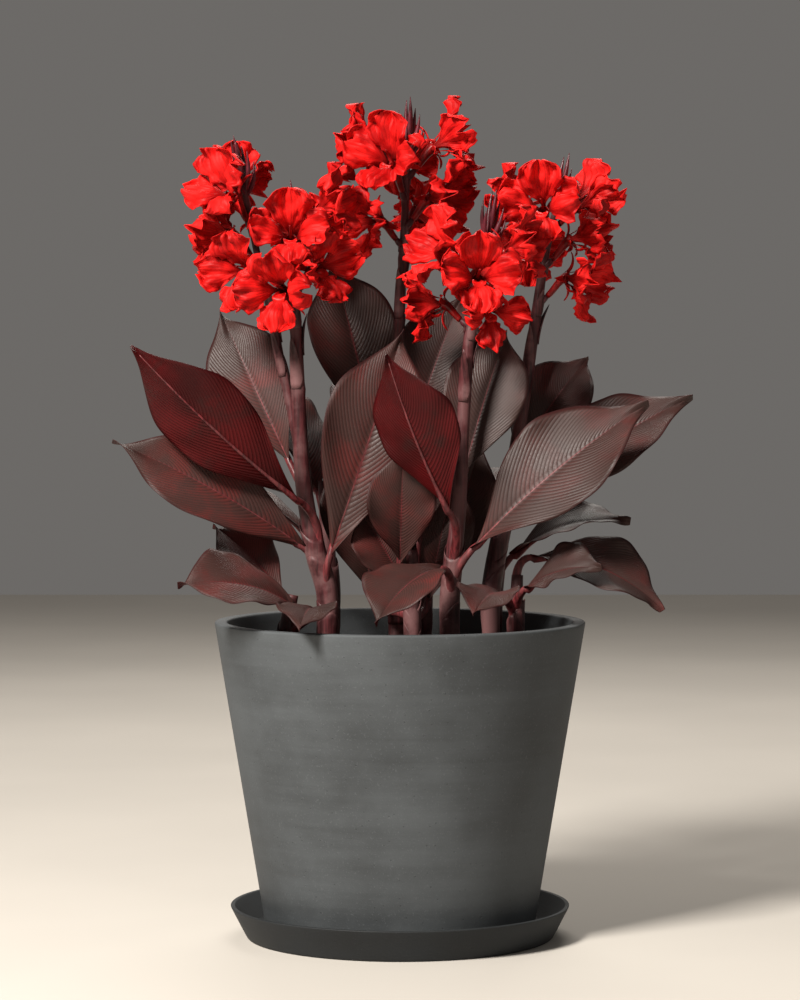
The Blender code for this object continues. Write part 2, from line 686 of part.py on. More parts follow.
def bloom_sheet(bloom, settled):
    """The middle surface of a bloom: a tube that parts into petals at the throat."""
    columns = PETAL_COUNT * PETAL_ACROSS
    rows = TUBE_ALONG + PETAL_ALONG
    sheet = bmesh.new()
    bmesh.ops.create_grid(sheet, x_segments=columns, y_segments=rows, size=1.0)
    for vert in sheet.verts:
        vert.co.x = round(0.5 * (vert.co.x + 1) * columns)
        vert.co.y = round(0.5 * (vert.co.y + 1) * rows)
    partings = []
    for edge in sheet.edges:
        low, high = sorted(vert.co.y for vert in edge.verts)
        column = edge.verts[0].co.x
        if low < high and low >= TUBE_ALONG and column % PETAL_ACROSS == 0:
            partings.append(edge)
    bmesh.ops.split_edges(sheet, edges=partings)
    places = {}
    for vert in sheet.verts:
        column, row = vert.co.x, vert.co.y
        index = int(vert.link_faces[0].calc_center_median().x // PETAL_ACROSS)
        if row <= TUBE_ALONG:
            turn = math.tau * (column - 0.5 * PETAL_ACROSS) / columns
            places[vert] = bloom.tube_point(row / TUBE_ALONG, turn)
        else:
            u = (row - TUBE_ALONG) / PETAL_ALONG
            v = 2 * (column / PETAL_ACROSS - index) - 1
            places[vert] = bloom.petal_point(u, v, index, *settled[index])
    for vert, place in places.items():
        vert.co = place
    bmesh.ops.remove_doubles(sheet, verts=sheet.verts, dist=MERGE)
    bmesh.ops.triangulate(sheet, faces=sheet.faces)
    return sheet


def build_bloom(bloom, taken, collection, work, material):
    """A red bloom whose petals are bent clear of what is round it."""
    settled = [settled_petal(bloom, index, taken) for index in range(PETAL_COUNT)]
    piece = blade(bloom.name, bloom_sheet(bloom, settled), PETAL_THICKNESS, work)
    mesh = piece.data.copy()
    remove_objects([piece])
    mesh.shade_smooth()
    mesh.set_sharp_from_angle(angle=math.radians(SHARP_ANGLE))
    return add_object(bloom.name, mesh, collection, material)


def build_saucer(collection, material):
    """The low saucer with a slanted wall and a thin lip."""
    foot = SAUCER_BASE_RADIUS
    rim = SAUCER_RIM_RADIUS
    inner = rim - SAUCER_LIP
    profile = (
        (0.0, SAUCER_FLOOR),
        (foot - SAUCER_CORNER, SAUCER_FLOOR),
        (inner + 0.5 * SAUCER_EDGE, SAUCER_HEIGHT),
        (rim - SAUCER_EDGE, SAUCER_HEIGHT),
        (rim, SAUCER_HEIGHT - SAUCER_EDGE),
        (foot + SAUCER_SKIRT, SAUCER_SKIRT),
        (foot + 0.5 * SAUCER_CORNER, SAUCER_HEEL),
        (foot - 2 * SAUCER_HEEL, 0.0),
        (0.0, 0.0),
    )
    return turned("saucer", profile, collection, material)


def pot_inner_radius(height):
    """The pot's inner radius at a height."""
    low = SAUCER_FLOOR + GAP + POT_FLOOR
    share = (height - low) / (POT_TOP - low)
    narrow = POT_BASE_RADIUS - POT_WALL
    return narrow + share * (POT_RIM_RADIUS - POT_RIM_WIDTH - narrow)


def build_pot(collection, cutters, material):
    """The tapered pot, hollow, with drain holes in its floor."""
    bottom = SAUCER_FLOOR + GAP
    floor = bottom + POT_FLOOR
    inner_rim = POT_RIM_RADIUS - POT_RIM_WIDTH
    profile = (
        (0.0, floor),
        (POT_BASE_RADIUS - POT_WALL, floor),
        (pot_inner_radius(POT_TOP - POT_EDGE), POT_TOP - POT_EDGE),
        (inner_rim + POT_EDGE, POT_TOP),
        (POT_RIM_RADIUS - POT_EDGE, POT_TOP),
        (POT_RIM_RADIUS, POT_TOP - POT_EDGE),
        (POT_BASE_RADIUS, bottom + POT_EDGE),
        (POT_BASE_RADIUS - POT_EDGE, bottom),
        (0.0, bottom),
    )
    pot = turned("pot", profile, collection, material)
    drains = bpy.data.collections.new("drains")
    cutters.children.link(drains)
    for i in range(DRAIN_COUNT):
        turn = math.tau * (i + 0.5) / DRAIN_COUNT
        place = (DRAIN_RING * math.cos(turn), DRAIN_RING * math.sin(turn), bottom + 0.5 * POT_FLOOR)
        cylinder(drains, place, DRAIN_RADIUS, 2 * POT_FLOOR)
    cut_away(pot, drains)
    return pot


def cylinder(collection, place, radius, height):
    """A plain cylinder that cuts a hole."""
    mesh = bpy.data.meshes.new("hole")
    body = bmesh.new()
    bmesh.ops.create_cone(
        body, cap_ends=True, segments=HOLE_SIDES, radius1=radius, radius2=radius, depth=height
    )
    body.to_mesh(mesh)
    body.free()
    cutter = add_object("hole", mesh, collection)
    cutter.location = place
    cutter.hide_render = True
    cutter.display_type = "WIRE"
    return cutter


def cut_away(piece, holes):
    """Cuts a collection of holes out of a piece."""
    cut = piece.modifiers.new("Holes", "BOOLEAN")
    cut.operation = "DIFFERENCE"
    cut.operand_type = "COLLECTION"
    cut.collection = holes
    cut.solver = "EXACT"


def build_soil(collection, cutters, material):
    """The soil that fills the pot, crowned in the middle, with a hole for each stem."""
    floor = SAUCER_FLOOR + GAP + POT_FLOOR + GAP
    profile = (
        (0.0, SOIL_TOP + SOIL_CROWN),
        (SOIL_INNER_RING, SOIL_TOP + 0.6 * SOIL_CROWN),
        (SOIL_OUTER_RING, SOIL_TOP),
        (pot_inner_radius(SOIL_TOP) - 2 * GAP, SOIL_TOP - SOIL_DIP),
        (pot_inner_radius(floor) - 2 * GAP, floor),
        (0.0, floor),
    )
    soil = turned("soil", profile, collection, material)
    holes = bpy.data.collections.new("stem_holes")
    cutters.children.link(holes)
    depth = HOLE_DEPTH + 2 * SOIL_CROWN
    for rows in STEMS.values():
        x, y, _, radius = rows[0]
        place = (x, y, SOIL_TOP - HOLE_DEPTH + 0.5 * depth)
        cylinder(holes, place, radius / math.cos(math.pi / HOLE_SIDES) + HOLE_PLAY, depth)
    cut_away(soil, holes)
    return soil


def clear_scene():
    """Starts from an empty scene."""
    for piece in list(bpy.data.objects):
        bpy.data.objects.remove(piece, do_unlink=True)


def new_collection(name):
    """A collection in the scene."""
    collection = bpy.data.collections.new(name)
    bpy.context.scene.collection.children.link(collection)
    return collection


def main():
    """Builds the potted plant from the saucer up."""
    clear_scene()
    plant = new_collection("canna_lily")
    cutters = new_collection("cutters")
    work = new_collection("work")
    leaf_material = make_material("leaf")
    petal_material = make_material("petal")
    shoots = [build_shoot(name, plant, work, leaf_material) for name in STEMS]
    taken = [tree_of(shoot) for shoot in shoots]
    blooms = [Bloom(row) for row in BLOOMS]
    tubes = [tube_tree(bloom) for bloom in blooms]
    for i, bloom in enumerate(blooms):
        piece = build_bloom(bloom, taken + tubes[i + 1:], plant, work, petal_material)
        taken.append(tree_of(piece))
    bpy.data.collections.remove(work)
    build_saucer(plant, make_material("saucer_stoneware"))
    build_pot(plant, cutters, make_material("stoneware"))
    build_soil(plant, cutters, make_material("earth"))


main()
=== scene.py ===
"""A red canna lily with dark leaves in a tapered pot on its saucer, dressed for rendering."""

import json
import math

import bpy
from bpy.props import FloatProperty, FloatVectorProperty, PointerProperty
from bpy.types import Operator, Panel, PropertyGroup
from mathutils import Matrix, Vector, noise
from mathutils.kdtree import KDTree

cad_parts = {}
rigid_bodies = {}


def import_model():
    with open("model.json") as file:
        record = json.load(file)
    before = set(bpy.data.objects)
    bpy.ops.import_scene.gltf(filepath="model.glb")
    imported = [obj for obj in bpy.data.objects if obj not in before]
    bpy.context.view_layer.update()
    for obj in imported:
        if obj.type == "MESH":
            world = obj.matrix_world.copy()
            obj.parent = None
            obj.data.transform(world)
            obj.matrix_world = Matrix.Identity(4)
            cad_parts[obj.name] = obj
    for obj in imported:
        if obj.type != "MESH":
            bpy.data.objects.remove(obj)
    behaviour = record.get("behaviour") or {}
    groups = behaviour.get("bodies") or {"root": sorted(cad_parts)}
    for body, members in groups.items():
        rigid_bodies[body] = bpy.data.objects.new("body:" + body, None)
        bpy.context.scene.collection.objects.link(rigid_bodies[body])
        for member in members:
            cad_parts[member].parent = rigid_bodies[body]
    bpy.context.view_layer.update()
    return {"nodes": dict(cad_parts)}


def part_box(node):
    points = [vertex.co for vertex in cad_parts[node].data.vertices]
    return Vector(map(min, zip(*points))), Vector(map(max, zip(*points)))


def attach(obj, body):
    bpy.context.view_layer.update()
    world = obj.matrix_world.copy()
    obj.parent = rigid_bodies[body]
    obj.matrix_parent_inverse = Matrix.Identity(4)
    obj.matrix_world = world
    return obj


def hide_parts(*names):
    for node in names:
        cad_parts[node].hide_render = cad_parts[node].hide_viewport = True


bl_info = {
    "name": "Potted canna lily",
    "version": (1, 0, 0),
    "blender": (4, 5, 0),
    "location": "3D View > Sidebar > Canna",
    "description": "Grows a red canna lily with dark leaves in a stoneware pot",
    "category": "Object",
}

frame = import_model()
NODES = frame["nodes"]
MM = 0.001

# Saucer, pot and soil, in metres
TURN_STEPS = 192
TUBE_SIDE = (0.31, 0.87, 0.38)
WELD_REACH = 0.00001
SAUCER = {"rim": 0.2065, "foot": 0.183, "height": 0.039, "floor": 0.0085, "lip": 0.0055}
SAUCER_RUN = 0.006
SAUCER_HEEL = 0.0012
POT = {"rim": 0.225, "foot": 0.163, "top": 0.3835, "rim_width": 0.0155, "wall": 0.012, "floor": 0.014}
POT_RUN = 0.008
POT_EDGE = 0.0030
FIT_GAP = 0.0003
SOIL_TOP = 0.349
SOIL_CROWN = 0.007
SOIL_RINGS = 110
SOIL_TURNS = 300
SOIL_EYE = 0.004
SOIL_MARGIN = 0.006
SOIL_SINK = 0.0015
SOIL_PLAY = 0.0004
BARK_COLOUR = (0.075, 0.042, 0.026)
GRIT_COLOUR = (0.12, 0.10, 0.085)
CLOD_SCALES = (62, 140, 330)
HOLE_DEPTH = 0.035
DRAINS = {"radius": 0.009, "ring": 0.085, "count": 4}
DRILL_REACH = 0.004
DRILL_SIDES = 32

# Leaves, stalks and stems
LEAF_ROWS = 112
LEAF_COLUMNS = 22
LEAF_TIP = 0.004
LEAF_POINT = 1.6
LEAF_PACE = 0.9
TIP_SLIM = 0.60
FOOT_SLIM = 0.22
VEIN_BEND = 0.20
LEAF_THICKNESS = 0.0007
VEIN_SWEEP = 0.16
VEIN_CURVE = 1.3
WAVES = 1.6
WAVE_SLANT = 0.17
BUCKLE_DEPTH = 0.0030
MARGIN_DEPTH = 0.0022
MARGIN_WAVES = 4.3
CHANNEL_DEPTH = 0.0011
CHANNEL_WIDTH = 0.07
PLEATS = 19
PLEAT_WANDER = 0.35
VEIN_COUNT = 38.0
FINE_VEIN_COUNT = 152.0
STALK_RADII = (0.0072, 0.0042)
STALK_PULL = 0.4
STALK_STEPS = 12
RIB_STEPS = 40
RIB_SIDES = 12
RIB_END = 0.95
RIB_LEAST = 0.00035
RIB_SLIM = 0.55
RIB_TAPER = 0.8
RIB_SINK = 0.62
STEM_SIDES = 24
COLLAR_HEIGHT = 0.012
NODE_SWELL = 0.0009
NODE_REACH = 0.004
SHEATH_THICKNESS = 0.0005
SHEATH_LENGTH = 0.085
SHEATH_RISE = 0.012
SHEATH_SLANT = 0.030
SHEATH_ROWS = 14
SHEATH_SIDES = 28
SHEATH_FOOT = 0.003
SHEATH_SWELLS = (0.0004, 0.0013, 0.0008)
BRACT_STEPS = 10
BRACT_GAP = 0.0007
BRACT_LEAN = 0.16

# Bracts of a flower stalk: drop below the first bloom, bearing, length, spread
BRACTS = ((0.085, -1.9, 0.062, 1.5), (0.045, 0.4, 0.050, 1.3), (0.012, -1.2, 0.034, 1.2))

# The bract under an ovary: drop below its foot, length, spread
OVARY_BRACT = (0.006, 0.017, 1.1)

# Buds and blooms
BUD_LENGTH = 0.060
BUD_TURN = 137.5
BUD_FAN = 24
BUD_BOW = 0.0035
BUD_SHRINK = 0.25
BUD_SPREAD = 0.016
BUD_SEAT = 0.004
BUD_RADII = (0.0010, 0.0027, 0.0007)
BUD_STEPS = 16
BUD_SIDES = 14
OVARY_REACH = 0.016
OVARY_RADII = (0.0020, 0.0024)
OVARY_STEPS = 12
OVARY_SIDES = 18
WART_HEIGHT = 0.0006
WART_SCALE = 900
PETAL_ROWS = 18
PETAL_COLUMNS = 22
PETAL_THICKNESS = 0.0006
TUBE_RADII = (0.0034, 0.0068)
BLOOM_REACH = 0.048
PETAL_START = 12.0
PETAL_CLAW = 0.10
PETAL_WAIST = 2.2
PETAL_BELLY = 0.66
PETAL_END = 1.012
PETAL_ROUND = 2.3
PETAL_SECTOR = 1.12
PETAL_OVERLAP = 0.0012
FLARE_TRIES = (0, -10, 10, -20, 20, 30, -30, 42)
SIZE_TRIES = (1.0, 0.85, 0.7, 0.55, 0.42)
CURL_WAVES = 0.62
CURL_TURN = 1.7
FOLD_DEPTH = 0.0027
FOLD_WAVES = 3.4
RIDGE_DEPTH = 0.0005
RIDGE_WAVES = 9
CRUMPLE_DEPTH = 0.0062
NARROW_COUNT = 3
NARROW_LENGTH = 0.034
NARROW_HALF_WIDTH = 0.0042
NARROW_STEPS = 10
NARROW_ANGLES = (30, 62)
LIP_LENGTH = 0.030
LIP_STEPS = 16
LIP_ANGLES = (20, 150)
LIP_HALF_WIDTHS = (0.0022, 0.0062)
STYLE_LENGTH = 0.026
STYLE_RADII = (0.0017, 0.0011)
THROAT_STEPS = 12
THROAT_SIDES = 20

# Lights: name, size, place
LIGHTS = (
    ("key", 0.9, (-1.9, -2.6, 3.0)),
    ("fill", 3.0, (2.8, -2.4, 1.6)),
    ("back", 2.0, (0.2, 2.6, 3.0)),
)
LIGHT_AIM = (0.0, 0.0, 0.5)
LIGHT_COLOUR = (1.0, 0.95, 0.88)
SKY_COLOUR = (1.0, 0.95, 0.90, 1.0)
SKY_STRENGTH = 0.15
FLOOR_REACH = 6
FLOOR_DROP = 0.0002

# The camera's place, and how far it looks down in degrees
CAMERA_PLACE = (0.0, -4.05, 0.6957)
CAMERA_DIP = 2.34

# Petals of a bloom: length, width, flare at the tip, cup, ruffle
PETALS = (
    (0.058, 0.052, 58, 0.16, 0.0060),
    (0.056, 0.050, 78, -0.16, 0.0070),
    (0.052, 0.048, 102, -0.12, 0.0060),
    (0.056, 0.050, 72, -0.14, 0.0070),
)

# Frills round a petal: depth, waves, shift
FRILLS = ((1.0, 7, 1.0), (0.5, 13, 1.7), (0.35, 23, 0.6))

# Stems: points from the soil up, each with the stem's radius there
STEMS = {
    "shoot_left": (
        (-0.088, -0.030, 0.420, 0.0110),
        (-0.103, -0.032, 0.475, 0.0108),
        (-0.116, -0.032, 0.550, 0.0100),
        (-0.121, -0.031, 0.630, 0.0088),
        (-0.124, -0.030, 0.715, 0.0074),
        (-0.128, -0.030, 0.790, 0.0056),
        (-0.130, -0.026, 0.860, 0.0036),
    ),
    "shoot_middle": (
        (-0.004, 0.062, 0.420, 0.0105),
        (-0.004, 0.062, 0.520, 0.0098),
        (-0.004, 0.061, 0.640, 0.0082),
        (-0.001, 0.060, 0.740, 0.0068),
        (0.004, 0.060, 0.835, 0.0052),
        (0.010, 0.060, 0.966, 0.0036),
    ),
    "shoot_front": (
        (0.060, -0.052, 0.420, 0.0100),
        (0.070, -0.052, 0.520, 0.0092),
        (0.075, -0.050, 0.620, 0.0080),
        (0.084, -0.048, 0.735, 0.0068),
        (0.096, -0.046, 0.790, 0.0052),
        (0.106, -0.044, 0.850, 0.0036),
    ),
    "shoot_right": (
        (0.112, 0.050, 0.420, 0.0100),
        (0.130, 0.050, 0.520, 0.0092),
        (0.150, 0.050, 0.640, 0.0078),
        (0.166, 0.050, 0.750, 0.0066),
        (0.178, 0.050, 0.830, 0.0050),
        (0.194, 0.050, 0.898, 0.0036),
    ),
    "leafy_left": (
        (-0.135, -0.075, 0.385, 0.0085),
        (-0.128, -0.072, 0.420, 0.0070),
    ),
    "leafy_right": (
        (0.140, -0.015, 0.390, 0.0085),
        (0.142, -0.012, 0.440, 0.0070),
    ),
    "leafy_centre": (
        (0.015, -0.010, 0.400, 0.0085),
        (0.014, -0.012, 0.470, 0.0070),
    ),
    "leafy_back": (
        (0.030, 0.140, 0.420, 0.0090),
        (0.034, 0.146, 0.500, 0.0080),
        (0.036, 0.150, 0.580, 0.0065),
    ),
    "leafy_back_left": (
        (-0.085, 0.095, 0.420, 0.0090),
        (-0.092, 0.102, 0.490, 0.0080),
        (-0.095, 0.106, 0.550, 0.0065),
    ),
    "leafy_back_right": (
        (0.118, 0.128, 0.400, 0.0085),
        (0.124, 0.134, 0.460, 0.0075),
        (0.128, 0.138, 0.520, 0.0065),
    ),
}

# The second flower stalk of the left shoot leaves the stem here
SECOND_STALK = (
    (-0.117, -0.032, 0.570, 0.0060),
    (-0.131, -0.024, 0.640, 0.0056),
    (-0.144, -0.020, 0.700, 0.0052),
    (-0.154, -0.020, 0.755, 0.0048),
    (-0.170, -0.022, 0.820, 0.0042),
    (-0.189, -0.024, 0.914, 0.0034),
)

# Leaves: shoot, stalk height, foot, tip, face, width, belly, bow, twist, fold, wave
LEAVES = (
    ("shoot_left", 400, (-117, -35, 475), (-339, -110, 604), (5, -88, 45), 98, 42, 36, 8, 12, 6),
    ("shoot_left", 455, (-118, -62, 530), (-312, -170, 716), (-10, 88, 45), 106, 44, -28, -6, 10, 6),
    ("shoot_left", 500, (-134, 10, 575), (-221, 75, 759), (-15, -90, 35), 100, 42, 26, 6, 12, 5),
    ("shoot_left", 385, (-83, -45, 468), (4, -10, 736), (15, -95, 12), 126, 42, 24, -8, 12, 6),
    ("shoot_middle", 520, (-30, 72, 600), (-86, 110, 824), (20, -92, 20), 116, 42, 24, 0, 14, 6),
    ("shoot_middle", 560, (18, 68, 620), (78, 105, 780), (-10, -90, 30), 104, 42, 30, 0, 14, 5),
    ("shoot_middle", 460, (-12, 100, 540), (-50, 260, 700), (0, -55, 80), 112, 42, 44, 0, 12, 6),
    ("shoot_front", 430, (60, -90, 518), (-16, -150, 706), (30, 85, 40), 108, 42, -24, 4, 18, 5),
    ("shoot_front", 400, (87, -68, 475), (296, -70, 648), (-20, -80, 55), 130, 42, 30, -8, 12, 7),
    ("shoot_front", 380, (50, -90, 452), (-28, -215, 395), (-10, -45, 90), 96, 42, 50, 0, 16, 4),
    ("shoot_front", 480, (76, -20, 560), (130, 20, 735), (-10, -90, 35), 104, 42, 28, 6, 14, 5),
    ("shoot_right", 500, (152, 62, 590), (233, 90, 702), (-25, -85, 40), 98, 42, 34, -6, 14, 5),
    ("shoot_right", 440, (150, 40, 520), (357, 30, 654), (-20, -80, 55), 104, 42, 36, 0, 14, 6),
    ("shoot_right", 470, (150, 90, 550), (245, 215, 665), (-45, -45, 75), 104, 42, 46, 0, 12, 6),
    ("leafy_left", 370, (-128, -85, 408), (-259, -165, 437), (10, -60, 75), 100, 42, 56, 10, 10, 5),
    ("leafy_left", 360, (-100, -105, 402), (-115, -235, 391), (0, -20, 95), 72, 42, 46, 0, 12, 3),
    ("leafy_left", 380, (-142, -55, 420), (-225, -35, 500), (30, -60, 65), 84, 42, 40, 0, 14, 4),
    ("leafy_right", 400, (158, -20, 462), (314, -60, 400), (20, -60, 80), 96, 42, 66, 0, 14, 5),
    ("leafy_right", 385, (150, -45, 425), (238, -110, 455), (0, -60, 80), 84, 42, 46, 0, 14, 4),
    ("leafy_right", 380, (122, -45, 418), (85, -165, 402), (10, -20, 95), 76, 42, 46, 0, 14, 4),
    ("leafy_centre", 400, (0, -25, 455), (4, -75, 600), (0, -92, 25), 86, 42, 26, 0, 16, 4),
    ("leafy_centre", 410, (22, 4, 480), (38, 28, 660), (-10, -90, 25), 92, 42, 24, 0, 14, 4),
    ("leafy_centre", 390, (5, -12, 425), (-52, -20, 520), (20, -80, 50), 88, 42, 34, 0, 14, 4),
    ("leafy_centre", 380, (-30, 20, 408), (-74, 36, 590), (5, -95, 20), 88, 42, 24, 0, 14, 4),
    ("leafy_centre", 375, (34, 14, 405), (66, 24, 560), (-5, -95, 20), 80, 42, 24, 0, 14, 4),
    ("leafy_back", 400, (62, 92, 440), (100, 60, 600), (-20, -92, 20), 96, 42, 28, 0, 14, 4),
    ("leafy_back", 480, (34, 175, 560), (60, 300, 690), (0, -55, 80), 108, 42, 44, 0, 12, 6),
    ("leafy_back", 430, (55, 155, 500), (170, 270, 560), (-30, -25, 90), 104, 42, 56, 0, 12, 6),
    ("leafy_back", 400, (20, 165, 460), (-40, 300, 470), (0, 0, 100), 98, 42, 60, 0, 12, 5),
    ("leafy_back_left", 460, (-102, 118, 535), (-190, 230, 665), (40, -40, 80), 108, 42, 44, 0, 12, 6),
    ("leafy_back_left", 410, (-105, 95, 475), (-270, 90, 540), (30, -20, 90), 104, 42, 54, 0, 12, 6),
    ("leafy_back_right", 450, (140, 140, 520), (280, 160, 620), (-40, -35, 85), 104, 42, 46, 0, 12, 6),
    ("leafy_back_right", 400, (140, 120, 455), (285, 80, 500), (-25, -25, 90), 100, 42, 54, 0, 12, 5),
)

# Blooms: name, stalk, share of the stalk's flowering length, direction and rise of the tube, rise of
# the bloom's face, roll and size
BLOOMS = (
    ("bloom_left_1", "shoot_left", 0.02, -108, 35, 0, 0, 1.10),
    ("bloom_left_2", "shoot_left", 0.22, -45, 45, 10, 15, 1.00),
    ("bloom_left_3", "shoot_left", 0.48, -92, 50, 25, 0, 1.10),
    ("bloom_left_4", "shoot_left", 0.85, -15, 45, 35, 0, 1.00),
    ("bloom_left_5", "shoot_left", 0.55, 75, 50, 25, 0, 1.00),
    ("bloom_left_6", "second_stalk", 0.05, -125, 40, 5, 0, 1.05),
    ("bloom_left_7", "second_stalk", 0.30, 165, 50, 20, -10, 1.05),
    ("bloom_left_8", "second_stalk", 0.60, -140, 55, 30, 20, 1.05),
    ("bloom_left_9", "second_stalk", 0.70, 110, 55, 30, 0, 1.00),
    ("bloom_middle_1", "shoot_middle", 0.02, -140, 40, 0, 0, 1.00),
    ("bloom_middle_2", "shoot_middle", 0.45, -115, 50, 30, -10, 1.15),
    ("bloom_middle_3", "shoot_middle", 0.60, 170, 50, 25, 0, 1.10),
    ("bloom_middle_4", "shoot_middle", 0.20, -25, 45, 10, 10, 1.05),
    ("bloom_middle_5", "shoot_middle", 0.65, 0, 50, 30, 0, 1.10),
    ("bloom_middle_6", "shoot_middle", 0.10, 65, 45, 0, 0, 1.05),
    ("bloom_middle_7", "shoot_middle", 0.50, 95, 50, 25, 0, 1.05),
    ("bloom_front_1", "shoot_front", 0.40, -150, 50, 30, 0, 1.10),
    ("bloom_front_2", "shoot_front", 0.20, -85, 45, 15, 0, 1.10),
    ("bloom_front_3", "shoot_front", 0.02, -60, 30, -15, 0, 0.90),
    ("bloom_front_4", "shoot_front", 0.50, -10, 50, 25, 0, 1.00),
    ("bloom_front_5", "shoot_front", 0.30, 90, 45, 15, 0, 1.00),
    ("bloom_front_6", "shoot_front", 0.02, 170, 40, 0, 0, 0.95),
    ("bloom_right_1", "shoot_right", 0.55, -100, 50, 20, 0, 1.15),
    ("bloom_right_2", "shoot_right", 0.02, -20, 40, -10, 0, 1.05),
    ("bloom_right_3", "shoot_right", 0.35, -12, 45, 15, 0, 1.05),
    ("bloom_right_4", "shoot_right", 0.68, 30, 40, 30, 0, 1.05),
    ("bloom_right_5", "shoot_right", 0.25, 100, 45, 10, 0, 1.05),
    ("bloom_right_6", "shoot_right", 0.60, 165, 55, 30, 0, 1.00),
)

# Flowering length of each stalk: from this height to its top, and how many buds crown it
RACEMES = {
    "shoot_left": (0.750, 3),
    "second_stalk": (0.765, 9),
    "shoot_middle": (0.835, 9),
    "shoot_front": (0.735, 9),
    "shoot_right": (0.765, 7),
}


# ---------------------------------------------------------------- curves and meshes


def smooth_points(rows, parts):
    """Points and radii read from a smooth curve through rows of (x, y, z, radius)."""
    knots = [Vector(row) for row in rows]
    knots = [2 * knots[0] - knots[1]] + knots + [2 * knots[-1] - knots[-2]]
    places = []
    for i in range(1, len(knots) - 2):
        before, start, end, after = knots[i - 1:i + 3]
        for j in range(parts):
            t = j / parts
            pull = (end - before) * t + (2 * before - 5 * start + 4 * end - after) * t * t
            pull += (3 * start - before - 3 * end + after) * t ** 3
            places.append(start + 0.5 * pull)
    places.append(knots[-2])
    return [place.xyz for place in places], [place.w for place in places]


def stem_path(name, parts=1):
    """Points and radii along a stem, from its foot in the soil, or along the second flower stalk."""
    if name == "second_stalk":
        return smooth_points(SECOND_STALK, parts)
    x, y, _, radius = STEMS[name][0]
    foot = (x, y, SOIL_TOP - HOLE_DEPTH + FIT_GAP, radius)
    collar = (x, y, SOIL_TOP + COLLAR_HEIGHT, radius)
    return smooth_points((foot, collar, *STEMS[name]), parts)


def stem_at(name, height):
    """The middle, radius and direction of a stem at a height."""
    places, radii = stem_path(name, 6)
    for i in range(len(places) - 1):
        low, high = places[i], places[i + 1]
        if low.z <= height <= high.z:
            share = (height - low.z) / (high.z - low.z)
            radius = radii[i] + share * (radii[i + 1] - radii[i])
            return low.lerp(high, share), radius, (high - low).normalized()
    return places[-1], radii[-1], (places[-1] - places[-2]).normalized()


def coarse_place(name, height):
    """The middle of a stem at a height, read along its straight runs."""
    places, _ = stem_path(name)
    for low, high in zip(places, places[1:]):
        if low.z <= height <= high.z:
            return low.lerp(high, (height - low.z) / (high.z - low.z))
    return places[-1]


def stalks_of(shoot):
    """The names of a shoot's stem and of its second flower stalk, if it has one."""
    return (shoot, "second_stalk") if shoot == "shoot_left" else (shoot,)


def square_to(vector, axis):
    """The part of a vector that is square to an axis, at unit length."""
    return (vector - vector.dot(axis) * axis).normalized()


def heading(azimuth, rise):
    """A direction from its bearing about Z and its rise, in degrees."""
    azimuth = math.radians(azimuth)
    rise = math.radians(rise)
    level = math.cos(rise)
    return Vector((level * math.cos(azimuth), level * math.sin(azimuth), math.sin(rise)))


def bezier(start, start_pull, end_pull, end, count):
    """Points of a curve that leaves along one handle and arrives along the other."""
    places = []
    for i in range(count + 1):
        t = i / count
        place = (1 - t) ** 3 * start + 3 * t * (1 - t) ** 2 * start_pull
        place += 3 * t * t * (1 - t) * end_pull + t ** 3 * end
        places.append(place)
    return places


def ease(low, high, value):
    """Rises smoothly from 0 at low to 1 at high."""
    share = min(max((value - low) / (high - low), 0.0), 1.0)
    return share * share * (3 - 2 * share)


class Mould:
    """Gathers grids of points, with a map along and across each, into one mesh."""

    def __init__(self):
        self.points = []
        self.faces = []
        self.maps = []
        self.slots = []

    def grid(self, rows, slot=0, ring=False):
        """Adds a grid of points. A ring's last column joins its first."""
        first = len(self.points)
        width = len(rows[0])
        span = width if ring else width - 1
        for row in rows:
            self.points.extend(row)
        for i in range(len(rows) - 1):
            for j in range(span):
                near = first + i * width
                far = near + width
                k = (j + 1) % width
                self.faces.append((near + j, near + k, far + k, far + j))
                left, right = j / span, (j + 1) / span
                low, high = i / (len(rows) - 1), (i + 1) / (len(rows) - 1)
                self.maps += [(left, low), (right, low), (right, high), (left, high)]
                self.slots.append(slot)

    def cap(self, row_start, width, middle, slot, flip):
        """Closes a ring of points with a fan round a middle point."""
        self.points.append(middle)
        centre = len(self.points) - 1
        for j in range(width):
            k = (j + 1) % width
            corners = (row_start + j, row_start + k, centre)
            self.faces.append(corners[::-1] if flip else corners)
            self.maps += [(0.5, 0.0)] * 3
            self.slots.append(slot)

    def tube(self, places, radii, sides, slot=0, flat=1.0, lean=None):
        """Adds a closed tube through points. flat squeezes it along lean."""
        side = square_to(lean or Vector(TUBE_SIDE), (places[1] - places[0]).normalized())
        rows = []
        for i, place in enumerate(places):
            before, after = places[max(i - 1, 0)], places[min(i + 1, len(places) - 1)]
            direction = (after - before).normalized()
            side = square_to(side, direction)
            across = direction.cross(side)
            row = []
            for j in range(sides):
                turn = math.tau * j / sides
                reach = flat * math.cos(turn) * side + math.sin(turn) * across
                row.append(place + radii[i] * reach)
            rows.append(row)
        start = len(self.points)
        self.grid(rows, slot, ring=True)
        self.cap(start, sides, places[0], slot, True)
        self.cap(start + (len(places) - 1) * sides, sides, places[-1], slot, False)

    def build(self, name, materials):
        """The finished object in the scene."""
        mesh = bpy.data.meshes.new(name)
        mesh.from_pydata([tuple(point) for point in self.points], [], self.faces)
        layer = mesh.uv_layers.new(name="map")
        layer.data.foreach_set("uv", [value for pair in self.maps for value in pair])
        mesh.polygons.foreach_set("material_index", self.slots)
        mesh.polygons.foreach_set("use_smooth", [True] * len(self.faces))
        for material in materials:
            mesh.materials.append(material)
        mesh.update()
        piece = bpy.data.objects.new(name, mesh)
        bpy.context.scene.collection.objects.link(piece)
        return piece


